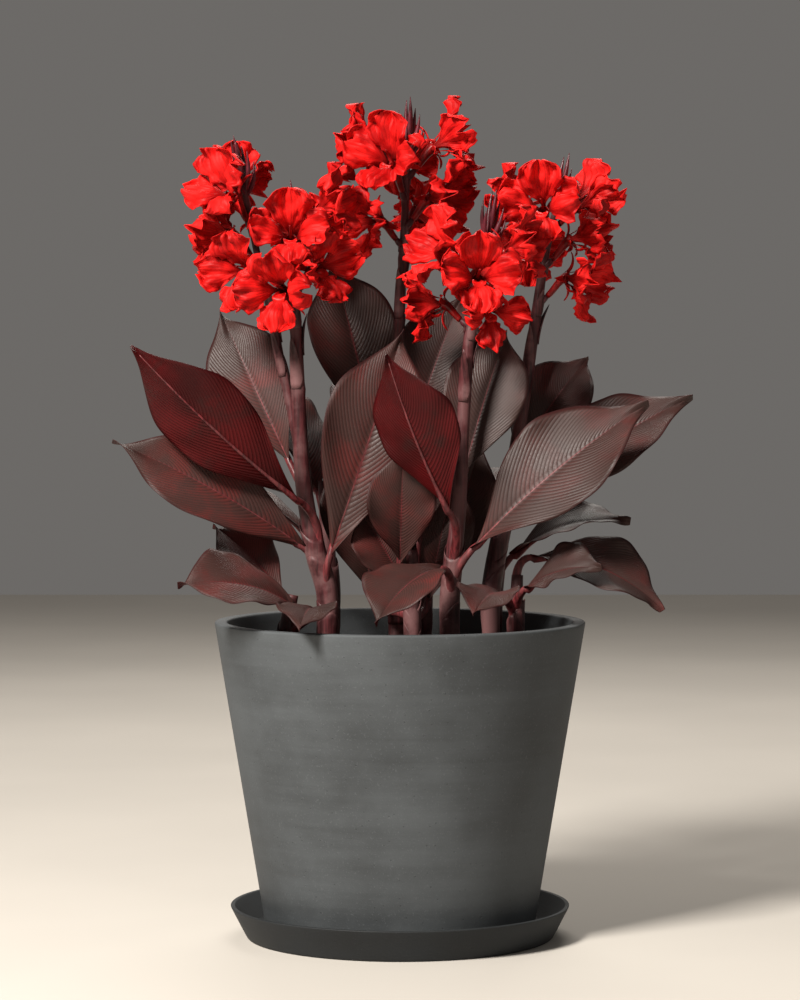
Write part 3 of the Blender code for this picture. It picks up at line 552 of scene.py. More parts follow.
def settle(piece, slot, *nodes):
    """Ties a piece to the model: what it moves with, and the nodes that it stands for; the slot for its
    finish is not used.
    """
    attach(piece, "root")
    if nodes:
        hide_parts(*nodes)


def thicken(piece, thickness, under_slot):
    """Gives a sheet its thickness, with another material on its underside."""
    solidify = piece.modifiers.new("Thickness", "SOLIDIFY")
    solidify.thickness = thickness
    solidify.offset = 0.0
    solidify.material_offset = under_slot


def ring_at(radius, height, count):
    """A level ring of points about Z."""
    turns = [math.tau * j / count for j in range(count)]
    return [Vector((radius * math.cos(turn), radius * math.sin(turn), height)) for turn in turns]


def turned(name, profile, material):
    """Turns a smooth profile of (radius, height) points, which runs down its outer side, about Z."""
    rows = [ring_at(radius, height, TURN_STEPS) for radius, height in profile]
    mould = Mould()
    mould.grid([row[::-1] for row in rows], ring=True)
    piece = mould.build(name, [material])
    weld = piece.modifiers.new("Weld", "WELD")
    weld.merge_threshold = WELD_REACH
    return piece


def rounded(corners, steps=5):
    """A profile with each corner (radius, height, rounding) turned into a small arc."""
    profile = []
    for i, (x, z, rounding) in enumerate(corners):
        corner = Vector((x, z))
        if rounding == 0:
            profile.append((x, z))
            continue
        before = Vector(corners[i - 1][:2])
        after = Vector(corners[i + 1][:2])
        start = corner + (before - corner).normalized() * rounding
        end = corner + (after - corner).normalized() * rounding
        for step in range(steps + 1):
            t = step / steps
            place = (1 - t) ** 2 * start + 2 * t * (1 - t) * corner + t * t * end
            profile.append((place.x, place.y))
    return profile


def spaced(profile, longest):
    """Adds points on the long runs of a profile."""
    places = []
    for (x0, z0), (x1, z1) in zip(profile, profile[1:]):
        count = max(1, math.ceil(math.hypot(x1 - x0, z1 - z0) / longest))
        places += [(x0 + (x1 - x0) * i / count, z0 + (z1 - z0) * i / count) for i in range(count)]
    return places + [profile[-1]]


# ---------------------------------------------------------------- leaves


class Leaf:
    """A leaf blade: an arched midrib with a folded, waved and pleated blade on each side."""

    def __init__(self, row):
        self.shoot, height, foot, tip, face, width, belly, bow, twist, fold, wave = row
        self.number = LEAVES.index(row)
        self.height = height * MM
        self.foot = Vector(foot) * MM
        self.chord = Vector(tip) * MM - self.foot
        self.length = self.chord.length
        self.chord.normalize()
        self.face = square_to(Vector(face), self.chord)
        self.half = 0.5 * width * MM
        self.belly = belly / 100
        self.bow = math.radians(bow)
        self.twist = math.radians(twist)
        self.fold = math.radians(fold)
        self.wave = wave * MM

    def midrib(self, u):
        """The midrib's point and direction at a share of its length."""
        half_bow = 0.5 * self.bow
        angle = self.bow * u - half_bow
        radius = 0.5 * self.length / math.sin(half_bow)
        forward = radius * (math.sin(angle) + math.sin(half_bow))
        rise = radius * (math.cos(angle) - math.cos(half_bow))
        place = self.foot + forward * self.chord + rise * self.face
        return place, math.cos(angle) * self.chord - math.sin(angle) * self.face

    def half_width(self, u):
        """Half the blade's width, widest at the belly."""
        end = LEAF_POINT
        start = end * self.belly / (1 - self.belly)
        peak = self.belly ** start * (1 - self.belly) ** end
        u = min(max(u, LEAF_TIP), 1 - LEAF_TIP)
        slim = (1 - TIP_SLIM * ease(0.50, 1.0, u)) * (1 - FOOT_SLIM * ease(0.30, 0.0, u))
        return slim * self.half * u ** start * (1 - u) ** end / peak

    def upward(self, along):
        """The midrib's point, direction, and the blade's upper side there."""
        place, direction = self.midrib(along)
        up = square_to(self.face, direction)
        up = Matrix.Rotation(self.twist * (along - 0.5), 3, direction) @ up
        return place, direction, up

    def surface(self, u, v, pleat):
        """A point of the blade, u along it and v across it."""
        along = u + VEIN_SWEEP * abs(v) ** VEIN_CURVE * 4 * u * (1 - u)
        place, direction, up = self.upward(along)
        side = direction.cross(up)
        reach = self.half_width(u) * v
        lift = abs(reach) * math.sin(self.fold)
        lift += self.wave * v * v * math.sin(math.tau * WAVES * (u + WAVE_SLANT * v))
        seed = Vector((3.1 * u, 1.3 * v, 0.7 * self.number))
        lift += BUCKLE_DEPTH * noise.noise(seed) * abs(v)
        margin = abs(v) ** 3 * math.sin(math.pi * min(1.0, 1.2 * u))
        lift += MARGIN_DEPTH * margin * math.sin(math.tau * MARGIN_WAVES * u + 2.1 * self.number + v)
        wander = PLEAT_WANDER * noise.noise(Vector((2.0 * u, 3.0 * v, 5.0 + self.number)))
        swept = u - VEIN_BEND * abs(v) ** VEIN_CURVE * 4 * u * (1 - u)
        ridge = abs(math.sin(math.pi * (PLEATS * swept + wander)))
        shape = ease(0.03, 0.30, abs(v)) * ease(0.0, 0.06, u) * ease(1.0, 0.86, u)
        lift += pleat * (ridge - 0.6) * shape * (1 - 0.4 * abs(v))
        channel = math.exp(-(v / CHANNEL_WIDTH) ** 2) * ease(1.0, 0.5, u)
        lift -= CHANNEL_DEPTH * channel
        return place + reach * math.cos(self.fold) * side + lift * up

    def stalk(self):
        """Points of the leaf's stalk, from inside its stem to its foot."""
        start = coarse_place(self.shoot, self.height)
        foot, direction = self.midrib(0.0)
        pull = STALK_PULL * (foot - start).length
        return bezier(start, start + Vector((0, 0, pull)), foot - pull * direction, foot, STALK_STEPS)


def build_blades(shoot, look):
    """All the leaf blades of a shoot."""
    mould = Mould()
    for row in LEAVES:
        if row[0] != shoot:
            continue
        leaf = Leaf(row)
        rows = []
        for i in range(LEAF_ROWS + 1):
            u = (i / LEAF_ROWS) ** LEAF_PACE
            steps = [2 * j / LEAF_COLUMNS - 1 for j in range(LEAF_COLUMNS + 1)]
            rows.append([leaf.surface(u, v, look.pleat_depth) for v in steps])
        mould.grid(rows)
    piece = mould.build(shoot + "_leaves", [leaf_material(look), underside_material(look)])
    thicken(piece, LEAF_THICKNESS, 1)
    return piece


def build_ribs(shoot, look):
    """The stalks of a shoot's leaves and the midribs that run on from them."""
    mould = Mould()
    for row in LEAVES:
        if row[0] != shoot:
            continue
        leaf = Leaf(row)
        places = leaf.stalk()
        radii = []
        for i in range(len(places)):
            radii.append(STALK_RADII[0] + (STALK_RADII[1] - STALK_RADII[0]) * i / (len(places) - 1))
        for i in range(1, RIB_STEPS + 1):
            u = RIB_END * i / RIB_STEPS
            place, _, up = leaf.upward(u)
            radius = STALK_RADII[1] * (1 - ease(0, 0.25, u) * RIB_SLIM) * (1 - u) ** RIB_TAPER + RIB_LEAST
            places.append(place - (RIB_SINK * radius + CHANNEL_DEPTH * ease(1.0, 0.5, u)) * up)
            radii.append(radius)
        mould.tube(places, radii, RIB_SIDES)
    return mould.build(shoot + "_stalks", [rib_material(look)])


# ---------------------------------------------------------------- stems


def sleeve(mould, name, low, high, lean):
    """A leaf sheath that wraps a stem, with its rim slanted up towards the leaf."""
    least, middle, lip = SHEATH_SWELLS
    rows = []
    for i in range(SHEATH_ROWS + 1):
        u = i / SHEATH_ROWS
        row = []
        for j in range(SHEATH_SIDES):
            turn = math.tau * j / SHEATH_SIDES
            toward = 0.5 + 0.5 * math.cos(turn - lean)
            top = high - SHEATH_SLANT * (1 - toward) ** 0.8
            place, radius, direction = stem_at(name, low + (top - low) * u)
            side = square_to(Vector((math.cos(turn), math.sin(turn), 0.0)), direction)
            swell = least + middle * ease(0.0, 0.5, u) + lip * u * u * toward
            row.append(place + (radius + swell) * side)
        rows.append(row)
    mould.grid(rows, ring=True)


def bract(mould, name, height, azimuth, length, spread, slot):
    """A waxy bract: a pointed half sleeve that leans off its stalk."""
    rows = []
    for i in range(BRACT_STEPS + 1):
        u = i / BRACT_STEPS
        place, radius, direction = stem_at(name, height + length * u)
        wrap = spread * (1 - u) ** 0.7 * (0.45 + 0.55 * ease(0.0, 0.2, u)) + 0.02
        away = 2 * FIT_GAP + BRACT_LEAN * length * u ** 2.4
        row = []
        for j in range(BRACT_STEPS + 1):
            turn = azimuth + wrap * (2 * j / BRACT_STEPS - 1)
            side = square_to(Vector((math.cos(turn), math.sin(turn), 0.0)), direction)
            lean = square_to(Vector((math.cos(azimuth), math.sin(azimuth), 0.0)), direction)
            row.append(place + (radius + BRACT_GAP) * side + away * lean)
        rows.append(row)
    mould.grid(rows, slot)


def build_stem(shoot, look):
    """A shoot's stem with its node rings, the sheaths round it, and its flower stalk's bracts."""
    mould = Mould()
    names = stalks_of(shoot)
    for name in names:
        places, radii = stem_path(name, 10)
        rings = [row[1] * MM for row in LEAVES if row[0] == name]
        if name in RACEMES:
            rings += [RACEMES[name][0] - BRACTS[2][0], RACEMES[name][0] - BRACTS[0][0]]
        shaped = []
        for place, radius in zip(places, radii):
            swell = sum(math.exp(-((place.z - ring) / NODE_REACH) ** 2) for ring in rings)
            shaped.append(radius + NODE_SWELL * min(swell, 1.0))
        mould.tube(places, shaped, STEM_SIDES)
    stem = mould.build(shoot + "_stem", [stem_material(look)])
    wraps = Mould()
    for row in LEAVES:
        if row[0] == shoot:
            leaf = Leaf(row)
            start = coarse_place(shoot, leaf.height)
            away = leaf.foot - start
            lean = math.atan2(away.y, away.x)
            low = max(SOIL_TOP + SHEATH_FOOT, leaf.height - SHEATH_LENGTH)
            sleeve(wraps, shoot, low, leaf.height + SHEATH_RISE, lean)
    for name in names:
        if name in RACEMES:
            for drop, azimuth, length, spread in BRACTS:
                bract(wraps, name, RACEMES[name][0] - drop, azimuth, length, spread, 0)
    sheaths = wraps.build(shoot + "_sheaths", [sheath_material(look)])
    thicken(sheaths, SHEATH_THICKNESS, 0)
    return stem, sheaths


# ---------------------------------------------------------------- flowers


def build_buds(shoot, look):
    """The crowns of slender pointed buds on a shoot's flower stalks."""
    mould = Mould()
    names = stalks_of(shoot)
    least, swell, taper = BUD_RADII
    for name in names:
        places, _ = stem_path(name)
        top = places[-1]
        upright = (places[-1] - places[-2]).normalized()
        count = RACEMES[name][1]
        for i in range(count):
            share = i / (count - 1)
            lean = math.radians(BUD_FAN * share ** 0.7)
            turn = math.radians(BUD_TURN * i)
            side = square_to(Vector((math.cos(turn), math.sin(turn), 0)), upright)
            aim = math.cos(lean) * upright + math.sin(lean) * side
            start = top - upright * (BUD_SPREAD * share + BUD_SEAT)
            length = BUD_LENGTH * (1 - BUD_SHRINK * share)
            spine = []
            radii = []
            for step in range(BUD_STEPS + 1):
                t = step / BUD_STEPS
                bend = BUD_BOW * math.sin(math.pi * t) * (0.4 + share)
                spine.append(start + aim * length * t + bend * square_to(side, aim))
                belly = math.sin(math.pi * min(1.0, t * 1.02) ** 0.8) ** 0.85
                radii.append(least + swell * belly * (1 - BUD_SHRINK * share) - taper * t)
            mould.tube(spine, radii, BUD_SIDES)
    return mould.build(shoot + "_buds", [bud_material(look)])


class Bloom:
    """A bloom: a tube from its ovary to the throat, and petals that flare from the throat."""

    def __init__(self, row):
        self.number = BLOOMS.index(row)
        self.name, self.stalk, share, self.azimuth, rise, face_rise, roll, self.size = row
        base_height = RACEMES[self.stalk][0]
        top_height = stem_path(self.stalk)[0][-1].z
        self.node = coarse_place(self.stalk, base_height + share * (top_height - base_height))
        self.out = heading(self.azimuth, rise)
        self.ovary_end = self.node + OVARY_REACH * self.out
        self.tube_start = self.ovary_end + FIT_GAP * self.out
        self.axis = heading(self.azimuth, face_rise)
        up = square_to(Vector((0, 0, 1)), self.axis)
        self.up = Matrix.Rotation(math.radians(roll), 3, self.axis) @ up
        self.throat = self.node + BLOOM_REACH * self.size * self.out
        self.settled = [(0, 1.0)] * len(PETALS)

    def petal_frame(self, u, index, flare, size):
        """The middle of a petal at u: its point, direction across it and its inner side."""
        length, _, tip_angle, _, _ = PETALS[index]
        turn = math.tau * index / len(PETALS)
        start = math.radians(PETAL_START)
        bend = math.radians(tip_angle + flare) - start
        angle = start + bend * u
        length *= size * self.size
        out = TUBE_RADII[-1] + length * (math.cos(start) - math.cos(angle)) / bend
        rise = length * (math.sin(angle) - math.sin(start)) / bend
        radial = Matrix.Rotation(turn, 3, self.axis) @ self.up
        across = self.axis.cross(radial)
        inward = math.sin(angle) * self.axis - math.cos(angle) * radial
        return self.throat + out * radial + rise * self.axis, across, inward, out

    def find_petals(self, node):
        """Reads from its solid how far each petal is bent and how large it is."""
        tree = KDTree(len(node.data.vertices))
        for i, vert in enumerate(node.data.vertices):
            tree.insert(vert.co, i)
        tree.balance()
        for index in range(len(PETALS)):
            best = None
            for size in SIZE_TRIES:
                for flare in FLARE_TRIES:
                    miss = 0.0
                    for u in (1 / 3, 2 / 3, 1.0):
                        place, _, inward, _ = self.petal_frame(u, index, flare, size)
                        wave = math.sin(index + CURL_TURN * self.number)
                        place = place + PETALS[index][4] * u * u * wave * inward
                        miss += tree.find(place)[2]
                    if best is None or miss < best[0]:
                        best = (miss, flare, size)
            self.settled[index] = best[1:]

    def petal_point(self, u, v, index, ruffle_depth):
        """A point of a ruffled petal, u along it from the throat and v across it."""
        flare, size = self.settled[index]
        _, width, _, cup, ruffle = PETALS[index]
        seed = 7.3 * self.number + 2.9 * index
        place, across, inward, out = self.petal_frame(u, index, flare, size)
        edge = 0.08 * math.sin(9 * u + seed) + 0.05 * math.sin(27 * u + 2 * seed + 3 * v)
        half = 0.5 * width * size * self.size * petal_outline(u) * (1 + edge * v * v)
        half = min(half, PETAL_SECTOR * out)
        wave = math.sin(math.tau * CURL_WAVES * v + index + CURL_TURN * self.number)
        lift = cup * v * v * half + ruffle * u * u * wave
        spin = math.atan2(v * half, (u - 0.45) * 0.05)
        rim = min(1.0, math.hypot(1.05 * v, max(0.0, (u - 0.35) / 0.65))) ** 3
        frill = sum(depth * math.sin(count * spin + shift * seed) for depth, count, shift in FRILLS)
        lift += ruffle_depth * size * rim * frill * ease(0.15, 0.5, u)
        lift += PETAL_OVERLAP * v * ease(0.0, 0.3, u)
        sway = 1.5 * noise.noise(Vector((3 * u, 2 * v, seed)))
        folds = math.sin(math.pi * FOLD_WAVES * v + seed + sway)
        lift += FOLD_DEPTH * size * folds * ease(0.1, 0.8, u)
        lift += RIDGE_DEPTH * math.sin(math.pi * RIDGE_WAVES * v + seed) * ease(0.1, 0.5, u)
        crumple = noise.noise(Vector((4.0 * u, 3.0 * v, seed)))
        lift += CRUMPLE_DEPTH * size * crumple * ease(0.2, 0.7, u)
        return place + v * half * across + lift * inward


def petal_outline(u):
    """A petal's half width as a share of its widest, from a narrow claw to a round end."""
    if u < PETAL_BELLY:
        share = math.sin(0.5 * math.pi * u / PETAL_BELLY)
        return PETAL_CLAW + (1 - PETAL_CLAW) * share ** PETAL_WAIST
    share = (u - PETAL_BELLY) / (PETAL_END - PETAL_BELLY)
    return math.sqrt(max(0.0, 1 - share ** PETAL_ROUND))


def add_petals(mould, bloom, look):
    """The broad ruffled petals of a bloom."""
    for index in range(len(PETALS)):
        rows = []
        for i in range(PETAL_ROWS + 1):
            t = i / PETAL_ROWS
            u = t + 0.35 * t * (1 - t) * ease(0.3, 0.9, t)
            steps = [2 * j / PETAL_COLUMNS - 1 for j in range(PETAL_COLUMNS + 1)]
            rows.append([bloom.petal_point(u, v, index, look.ruffle_depth) for v in steps])
        mould.grid(rows, 0)


def add_narrow_petals(mould, bloom):
    """The three narrow pointed petals that stand behind the broad ones."""
    for k in range(NARROW_COUNT):
        turn = math.tau * (k / NARROW_COUNT + 0.13) + 0.4 * bloom.number
        radial = Matrix.Rotation(turn, 3, bloom.axis) @ bloom.up
        across = bloom.axis.cross(radial)
        length = NARROW_LENGTH * bloom.size
        rows = []
        for i in range(NARROW_STEPS + 1):
            u = i / NARROW_STEPS
            angle = math.radians(NARROW_ANGLES[0] + NARROW_ANGLES[1] * u)
            out = TUBE_RADII[-1] * 0.9 + length * 0.8 * u * math.sin(angle)
            rise = length * u * math.cos(angle) * 0.55 - 0.006
            half = NARROW_HALF_WIDTH * math.sin(math.pi * min(1, 0.16 + 0.84 * u)) ** 0.7 + 0.0002
            row = []
            for j in range(7):
                v = j / 3 - 1
                lift = 0.0016 * v * v * bloom.axis
                row.append(bloom.throat + out * radial + rise * bloom.axis + v * half * across + lift)
            rows.append(row)
        mould.grid(rows, 0)


def add_lip(mould, bloom):
    """The curled, spotted lip and the slim style in the throat of a bloom."""
    down = -bloom.up
    across = bloom.axis.cross(down)
    length = LIP_LENGTH * bloom.size
    least, swell = LIP_HALF_WIDTHS
    rows = []
    for i in range(LIP_STEPS + 1):
        u = i / LIP_STEPS
        angle = math.radians(LIP_ANGLES[0] + LIP_ANGLES[1] * u * u)
        out = 0.004 + length * (0.25 * u + 0.35 * u * u * math.sin(angle))
        rise = 0.002 + length * (0.85 * u - 0.45 * u * u * (1 - math.cos(angle)))
        half = least + swell * math.sin(math.pi * min(1.0, 0.12 + 0.86 * u)) ** 1.3
        row = []
        for j in range(11):
            v = j / 5 - 1
            curl = 0.0022 * v * v + 0.0009 * math.sin(9 * u + 5 * v + bloom.number) * abs(v)
            place = bloom.throat + (out - curl) * down + rise * bloom.axis
            row.append(place + v * half * across)
        rows.append(row)
    mould.grid(rows, 1)
    places = []
    radii = []
    for i in range(11):
        u = i / 10
        off = 0.0015 + 0.003 * math.sin(2.2 * u)
        rise = STYLE_LENGTH * bloom.size * u - 0.002
        places.append(bloom.throat + off * bloom.up + rise * bloom.axis)
        radii.append(STYLE_RADII[0] + (STYLE_RADII[1] - STYLE_RADII[0]) * u)
    mould.tube(places, radii, 10, 2, flat=0.5, lean=bloom.up)


def add_throat(mould, bloom):
    """The tube of a bloom, from its ovary to the throat."""
    reach = (bloom.throat - bloom.tube_start).length
    start_pull = bloom.tube_start + 0.4 * reach * bloom.out
    end_pull = bloom.throat - 0.3 * reach * bloom.axis
    path = bezier(bloom.tube_start, start_pull, end_pull, bloom.throat, THROAT_STEPS)
    rows = []
    for i, place in enumerate(path):
        u = i / THROAT_STEPS
        direction = bloom.out.lerp(bloom.axis, u).normalized()
        up = square_to(bloom.up, direction)
        radius = TUBE_RADII[0] + (TUBE_RADII[-1] - TUBE_RADII[0]) * u ** 1.2
        row = []
        for j in range(THROAT_SIDES):
            turn = math.tau * j / THROAT_SIDES
            fluted = radius * (1 + 0.05 * math.cos(4 * turn) * u)
            row.append(place + fluted * (Matrix.Rotation(turn, 3, direction) @ up))
        rows.append(row)
    mould.grid(rows, 2, ring=True)


def build_bloom(row, look):
    """A red bloom: its ruffled petals, narrow petals, spotted lip, style and tube."""
    bloom = Bloom(row)
    bloom.find_petals(NODES[bloom.name])
    mould = Mould()
    add_petals(mould, bloom, look)
    add_narrow_petals(mould, bloom)
    add_lip(mould, bloom)
    add_throat(mould, bloom)
    materials = [petal_material(look), lip_material(look), throat_material(look)]
    piece = mould.build(bloom.name + "_petals", materials)
    thicken(piece, PETAL_THICKNESS, 0)
    return piece


def build_ovaries(shoot, look):
    """The small warty ovaries that carry a shoot's blooms, with a waxy bract under each."""
    mould = Mould()
    names = stalks_of(shoot)
    least, swell = OVARY_RADII
    drop, length, spread = OVARY_BRACT
    for row in BLOOMS:
        if row[1] not in names:
            continue
        bloom = Bloom(row)
        places = []
        radii = []
        for i in range(OVARY_STEPS + 1):
            u = i / OVARY_STEPS
            places.append(bloom.node + bloom.out * OVARY_REACH * u)
            radii.append(least + swell * math.sin(math.pi * min(1.0, 0.15 + 0.8 * u)) ** 0.8)
        start = len(mould.points)
        mould.tube(places, radii, OVARY_SIDES)
        for i in range(start, len(mould.points)):
            point = Vector(mould.points[i])
            away = (point - bloom.node - (point - bloom.node).dot(bloom.out) * bloom.out)
            if away.length > 0.0001:
                wart = abs(noise.noise(point * WART_SCALE))
                mould.points[i] = point + away.normalized() * WART_HEIGHT * wart
        azimuth = math.radians(bloom.azimuth)
        bract(mould, bloom.stalk, bloom.node.z - drop, azimuth, length, spread, 1)
    return mould.build(shoot + "_ovaries", [ovary_material(look), sheath_material(look)])


# ---------------------------------------------------------------- shader groups


def place_node(tree, kind, inputs=None, **settings):
    """Adds a shader node, with settings, and with inputs set or linked by name or number."""
    node = tree.nodes.new(kind)
    for key, value in settings.items():
        setattr(node, key, value)
    for key, value in (inputs or {}).items():
        if isinstance(value, bpy.types.NodeSocket):
            tree.links.new(value, node.inputs[key])
        else:
            node.inputs[key].default_value = value
    return node


def calc(tree, operation, *values):
    """The result of a sum on values or sockets."""
    return place_node(tree, "ShaderNodeMath", dict(enumerate(values)), operation=operation).outputs[0]


def times(tree, first, second):
    """Two values or sockets multiplied."""
    return calc(tree, "MULTIPLY", first, second)


def plus(tree, first, second):
    """Two values or sockets added."""
    return calc(tree, "ADD", first, second)


def less(tree, first, second):
    """One value or socket less another."""
    return calc(tree, "SUBTRACT", first, second)


def blend(tree, share, low, high):
    """A colour between two colours."""
    inputs = {0: share, 6: low, 7: high}
    return place_node(tree, "ShaderNodeMix", inputs, data_type="RGBA").outputs[2]


def tint(tree, base, mask, share, colour):
    """Lays a share of a colour over a base where a mask shows."""
    return blend(tree, times(tree, mask, share), base, colour)


def stretch(tree, value, low, high, to_low=0.0, to_high=1.0):
    """A value read from one range into another, eased at both ends."""
    inputs = {"Value": value, "From Min": low, "From Max": high, "To Min": to_low, "To Max": to_high}
    return place_node(tree, "ShaderNodeMapRange", inputs, interpolation_type="SMOOTHSTEP").outputs[0]


def cloud(tree, vector, scale, detail=4.0, rough=0.55):
    """A soft noise value."""
    inputs = {"Vector": vector, "Scale": scale, "Detail": detail, "Roughness": rough}
    return place_node(tree, "ShaderNodeTexNoise", inputs).outputs["Fac"]


def new_group(name, takes, gives):
    """An empty shader group with named sockets: its tree, its input node and its output node."""
    tree = bpy.data.node_groups.new(name, "ShaderNodeTree")
    for label, kind, value in takes:
        socket = tree.interface.new_socket(name=label, in_out="INPUT", socket_type=kind)
        socket.default_value = value
    for label, kind in gives:
        tree.interface.new_socket(name=label, in_out="OUTPUT", socket_type=kind)
    return tree, tree.nodes.new("NodeGroupInput"), tree.nodes.new("NodeGroupOutput")


def give(tree, given, outputs):
    """Feeds a group's outputs by name and hands the group back."""
    for label, value in outputs.items():
        tree.links.new(value, given.inputs[label])
    return tree


def ripple(tree, lines):
    """A wave that touches 0 once for each whole number."""
    return calc(tree, "ABSOLUTE", calc(tree, "SINE", times(tree, lines, math.pi)))


def map_place(tree):
    """How far across and along a blade or petal a point is, and how near its edge."""
    spot = place_node(tree, "ShaderNodeUVMap", uv_map="map").outputs[0]
    parts = place_node(tree, "ShaderNodeSeparateXYZ", {0: spot})
    across, along = parts.outputs[0], parts.outputs[1]
    near = calc(tree, "ABSOLUTE", less(tree, times(tree, across, 2.0), 1.0))
    return across, along, near


def object_place(tree):
    """A point of the piece, in metres."""
    return place_node(tree, "ShaderNodeTexCoord").outputs["Object"]


def vein_group():
    """Veins that run off a midrib: the vein lines, the pleats between them and the midrib's line."""
    if "leaf veins" in bpy.data.node_groups:
        return bpy.data.node_groups["leaf veins"]
    number = "NodeSocketFloat"
    takes = (
        ("Count", number, VEIN_COUNT), ("Fine Count", number, FINE_VEIN_COUNT),
        ("Wander", number, PLEAT_WANDER),
    )
    gives = (("Vein", number), ("Pleat", number), ("Fine", number), ("Midrib", number), ("Margin", number))
    tree, taken, given = new_group("leaf veins", takes, gives)
    _, along, near = map_place(tree)
    drift = less(tree, cloud(tree, object_place(tree), 14.0, 2.0), 0.5)
    drift = times(tree, drift, taken.outputs["Wander"])
    room = times(tree, along, less(tree, 4.0, times(tree, along, 4.0)))
    bend = times(tree, calc(tree, "POWER", near, VEIN_CURVE), room)
    swept = less(tree, along, times(tree, bend, VEIN_BEND))
    inside = stretch(tree, near, 0.90, 0.99, 1.0, 0.0)
    lines = plus(tree, times(tree, swept, taken.outputs["Count"]), drift)
    wave = times(tree, ripple(tree, lines), inside)
    fine = times(tree, swept, taken.outputs["Fine Count"])
    fine = plus(tree, fine, times(tree, drift, 4.0))
    outputs = {
        "Vein": stretch(tree, wave, 0.0, 0.34, 1.0, 0.0),
        "Pleat": wave,
        "Fine": ripple(tree, fine),
        "Midrib": stretch(tree, near, 0.0, 0.035, 1.0, 0.0),
        "Margin": stretch(tree, near, 0.93, 0.995),
    }
    return give(tree, given, outputs)


def petal_vein_group():
    """Fine veins that fan out along a petal, its crumples, and how near its edge or claw a point is."""
    if "petal veins" in bpy.data.node_groups:
        return bpy.data.node_groups["petal veins"]
    number = "NodeSocketFloat"
    takes = (("Count", number, 13.0), ("Crumple Scale", number, 120.0))
    gives = (("Vein", number), ("Relief", number), ("Claw", number), ("Edge", number), ("Patch", number))
    tree, taken, given = new_group("petal veins", takes, gives)
    across, along, near = map_place(tree)
    place = object_place(tree)
    drift = less(tree, cloud(tree, place, 60.0, 3.0), 0.5)
    wave = ripple(tree, plus(tree, times(tree, across, taken.outputs["Count"]), drift))
    crumple = cloud(tree, place, taken.outputs["Crumple Scale"], 4.0, 0.6)
    outputs = {
        "Vein": stretch(tree, wave, 0.0, 0.45, 1.0, 0.0),
        "Relief": plus(tree, times(tree, wave, 0.45), crumple),
        "Claw": stretch(tree, along, 0.05, 0.45, 1.0, 0.0),
        "Edge": calc(tree, "MAXIMUM", stretch(tree, near, 0.86, 1.0), stretch(tree, along, 0.93, 1.0)),
        "Patch": cloud(tree, place, 35.0, 3.0),
    }
    return give(tree, given, outputs)


def mottle_group():
    """The cloudy, faintly brushed look of cast stoneware: its clouds, specks and relief."""
    if "cast mottle" in bpy.data.node_groups:
        return bpy.data.node_groups["cast mottle"]
    number = "NodeSocketFloat"
    takes = (("Cloud Scale", number, 5.0), ("Brush Scale", number, 2.0), ("Speck Scale", number, 420.0))
    gives = (("Cloud", number), ("Speck", number), ("Relief", number), ("Pit", number))
    tree, taken, given = new_group("cast mottle", takes, gives)
    place = object_place(tree)
    flat = place_node(tree, "ShaderNodeMapping", {"Vector": place, "Scale": (1.0, 1.0, 14.0)}).outputs[0]
    clouds = cloud(tree, place, taken.outputs["Cloud Scale"], 6.0, 0.6)
    brush = cloud(tree, flat, taken.outputs["Brush Scale"], 7.0, 0.65)
    speck = cloud(tree, place, taken.outputs["Speck Scale"], 2.0, 0.5)
    pit_inputs = {"Vector": place, "Scale": 95.0, "Randomness": 1.0}
    pit = place_node(tree, "ShaderNodeTexVoronoi", pit_inputs).outputs["Distance"]
    mixed = plus(tree, times(tree, clouds, 0.65), times(tree, brush, 0.35))
    outputs = {
        "Cloud": stretch(tree, mixed, 0.34, 0.66),
        "Speck": stretch(tree, speck, 0.60, 0.72),
        "Relief": plus(tree, times(tree, speck, 0.4), brush),
        "Pit": stretch(tree, pit, 0.05, 0.13, 1.0, 0.0),
    }
    return give(tree, given, outputs)


def streak_group():
    """Long streaks up a stem, with waxy bloom in patches."""
    if "stem streaks" in bpy.data.node_groups:
        return bpy.data.node_groups["stem streaks"]
    number = "NodeSocketFloat"
    takes = (("Streak Scale", number, 260.0), ("Wax Scale", number, 22.0))
    gives = (("Streak", number), ("Wax", number), ("Relief", number))
    tree, taken, given = new_group("stem streaks", takes, gives)
    place = object_place(tree)
    tall = place_node(tree, "ShaderNodeMapping", {"Vector": place, "Scale": (1.0, 1.0, 0.05)}).outputs[0]
    streak = cloud(tree, tall, taken.outputs["Streak Scale"], 3.0, 0.6)
    wax = cloud(tree, place, taken.outputs["Wax Scale"], 5.0, 0.6)
    outputs = {
        "Streak": stretch(tree, streak, 0.35, 0.68),
        "Wax": stretch(tree, wax, 0.40, 0.62),
        "Relief": plus(tree, streak, times(tree, wax, 0.3)),
    }
    return give(tree, given, outputs)


# ---------------------------------------------------------------- materials


def start_material(name):
    """A material by name: its tree and shader, or None for both if it is finished already."""
    material = bpy.data.materials.get(name)
    if material:
        return material, None, None
    material = bpy.data.materials.new(name)
    material.use_nodes = True
    return material, material.node_tree, material.node_tree.nodes["Principled BSDF"]


def use_group(tree, group, **values):
    """Places a group in a material, with its inputs by name."""
    node = tree.nodes.new("ShaderNodeGroup")
    node.node_tree = group
    for label, value in values.items():
        node.inputs[label.replace("_", " ")].default_value = value
    return node.outputs


def relief(tree, shader, height, strength, distance):
    """Feeds a height into a shader's normal."""
    inputs = {"Height": height, "Strength": strength, "Distance": distance}
    bump = place_node(tree, "ShaderNodeBump", inputs)
    tree.links.new(bump.outputs[0], shader.inputs["Normal"])


def finish(tree, shader, colour, roughness, **plain):
    """Feeds a shader's colour and roughness, and sets its plain values."""
    tree.links.new(colour, shader.inputs["Base Color"])
    tree.links.new(roughness, shader.inputs["Roughness"])
    for label, value in plain.items():
        shader.inputs[label.replace("_", " ")].default_value = value


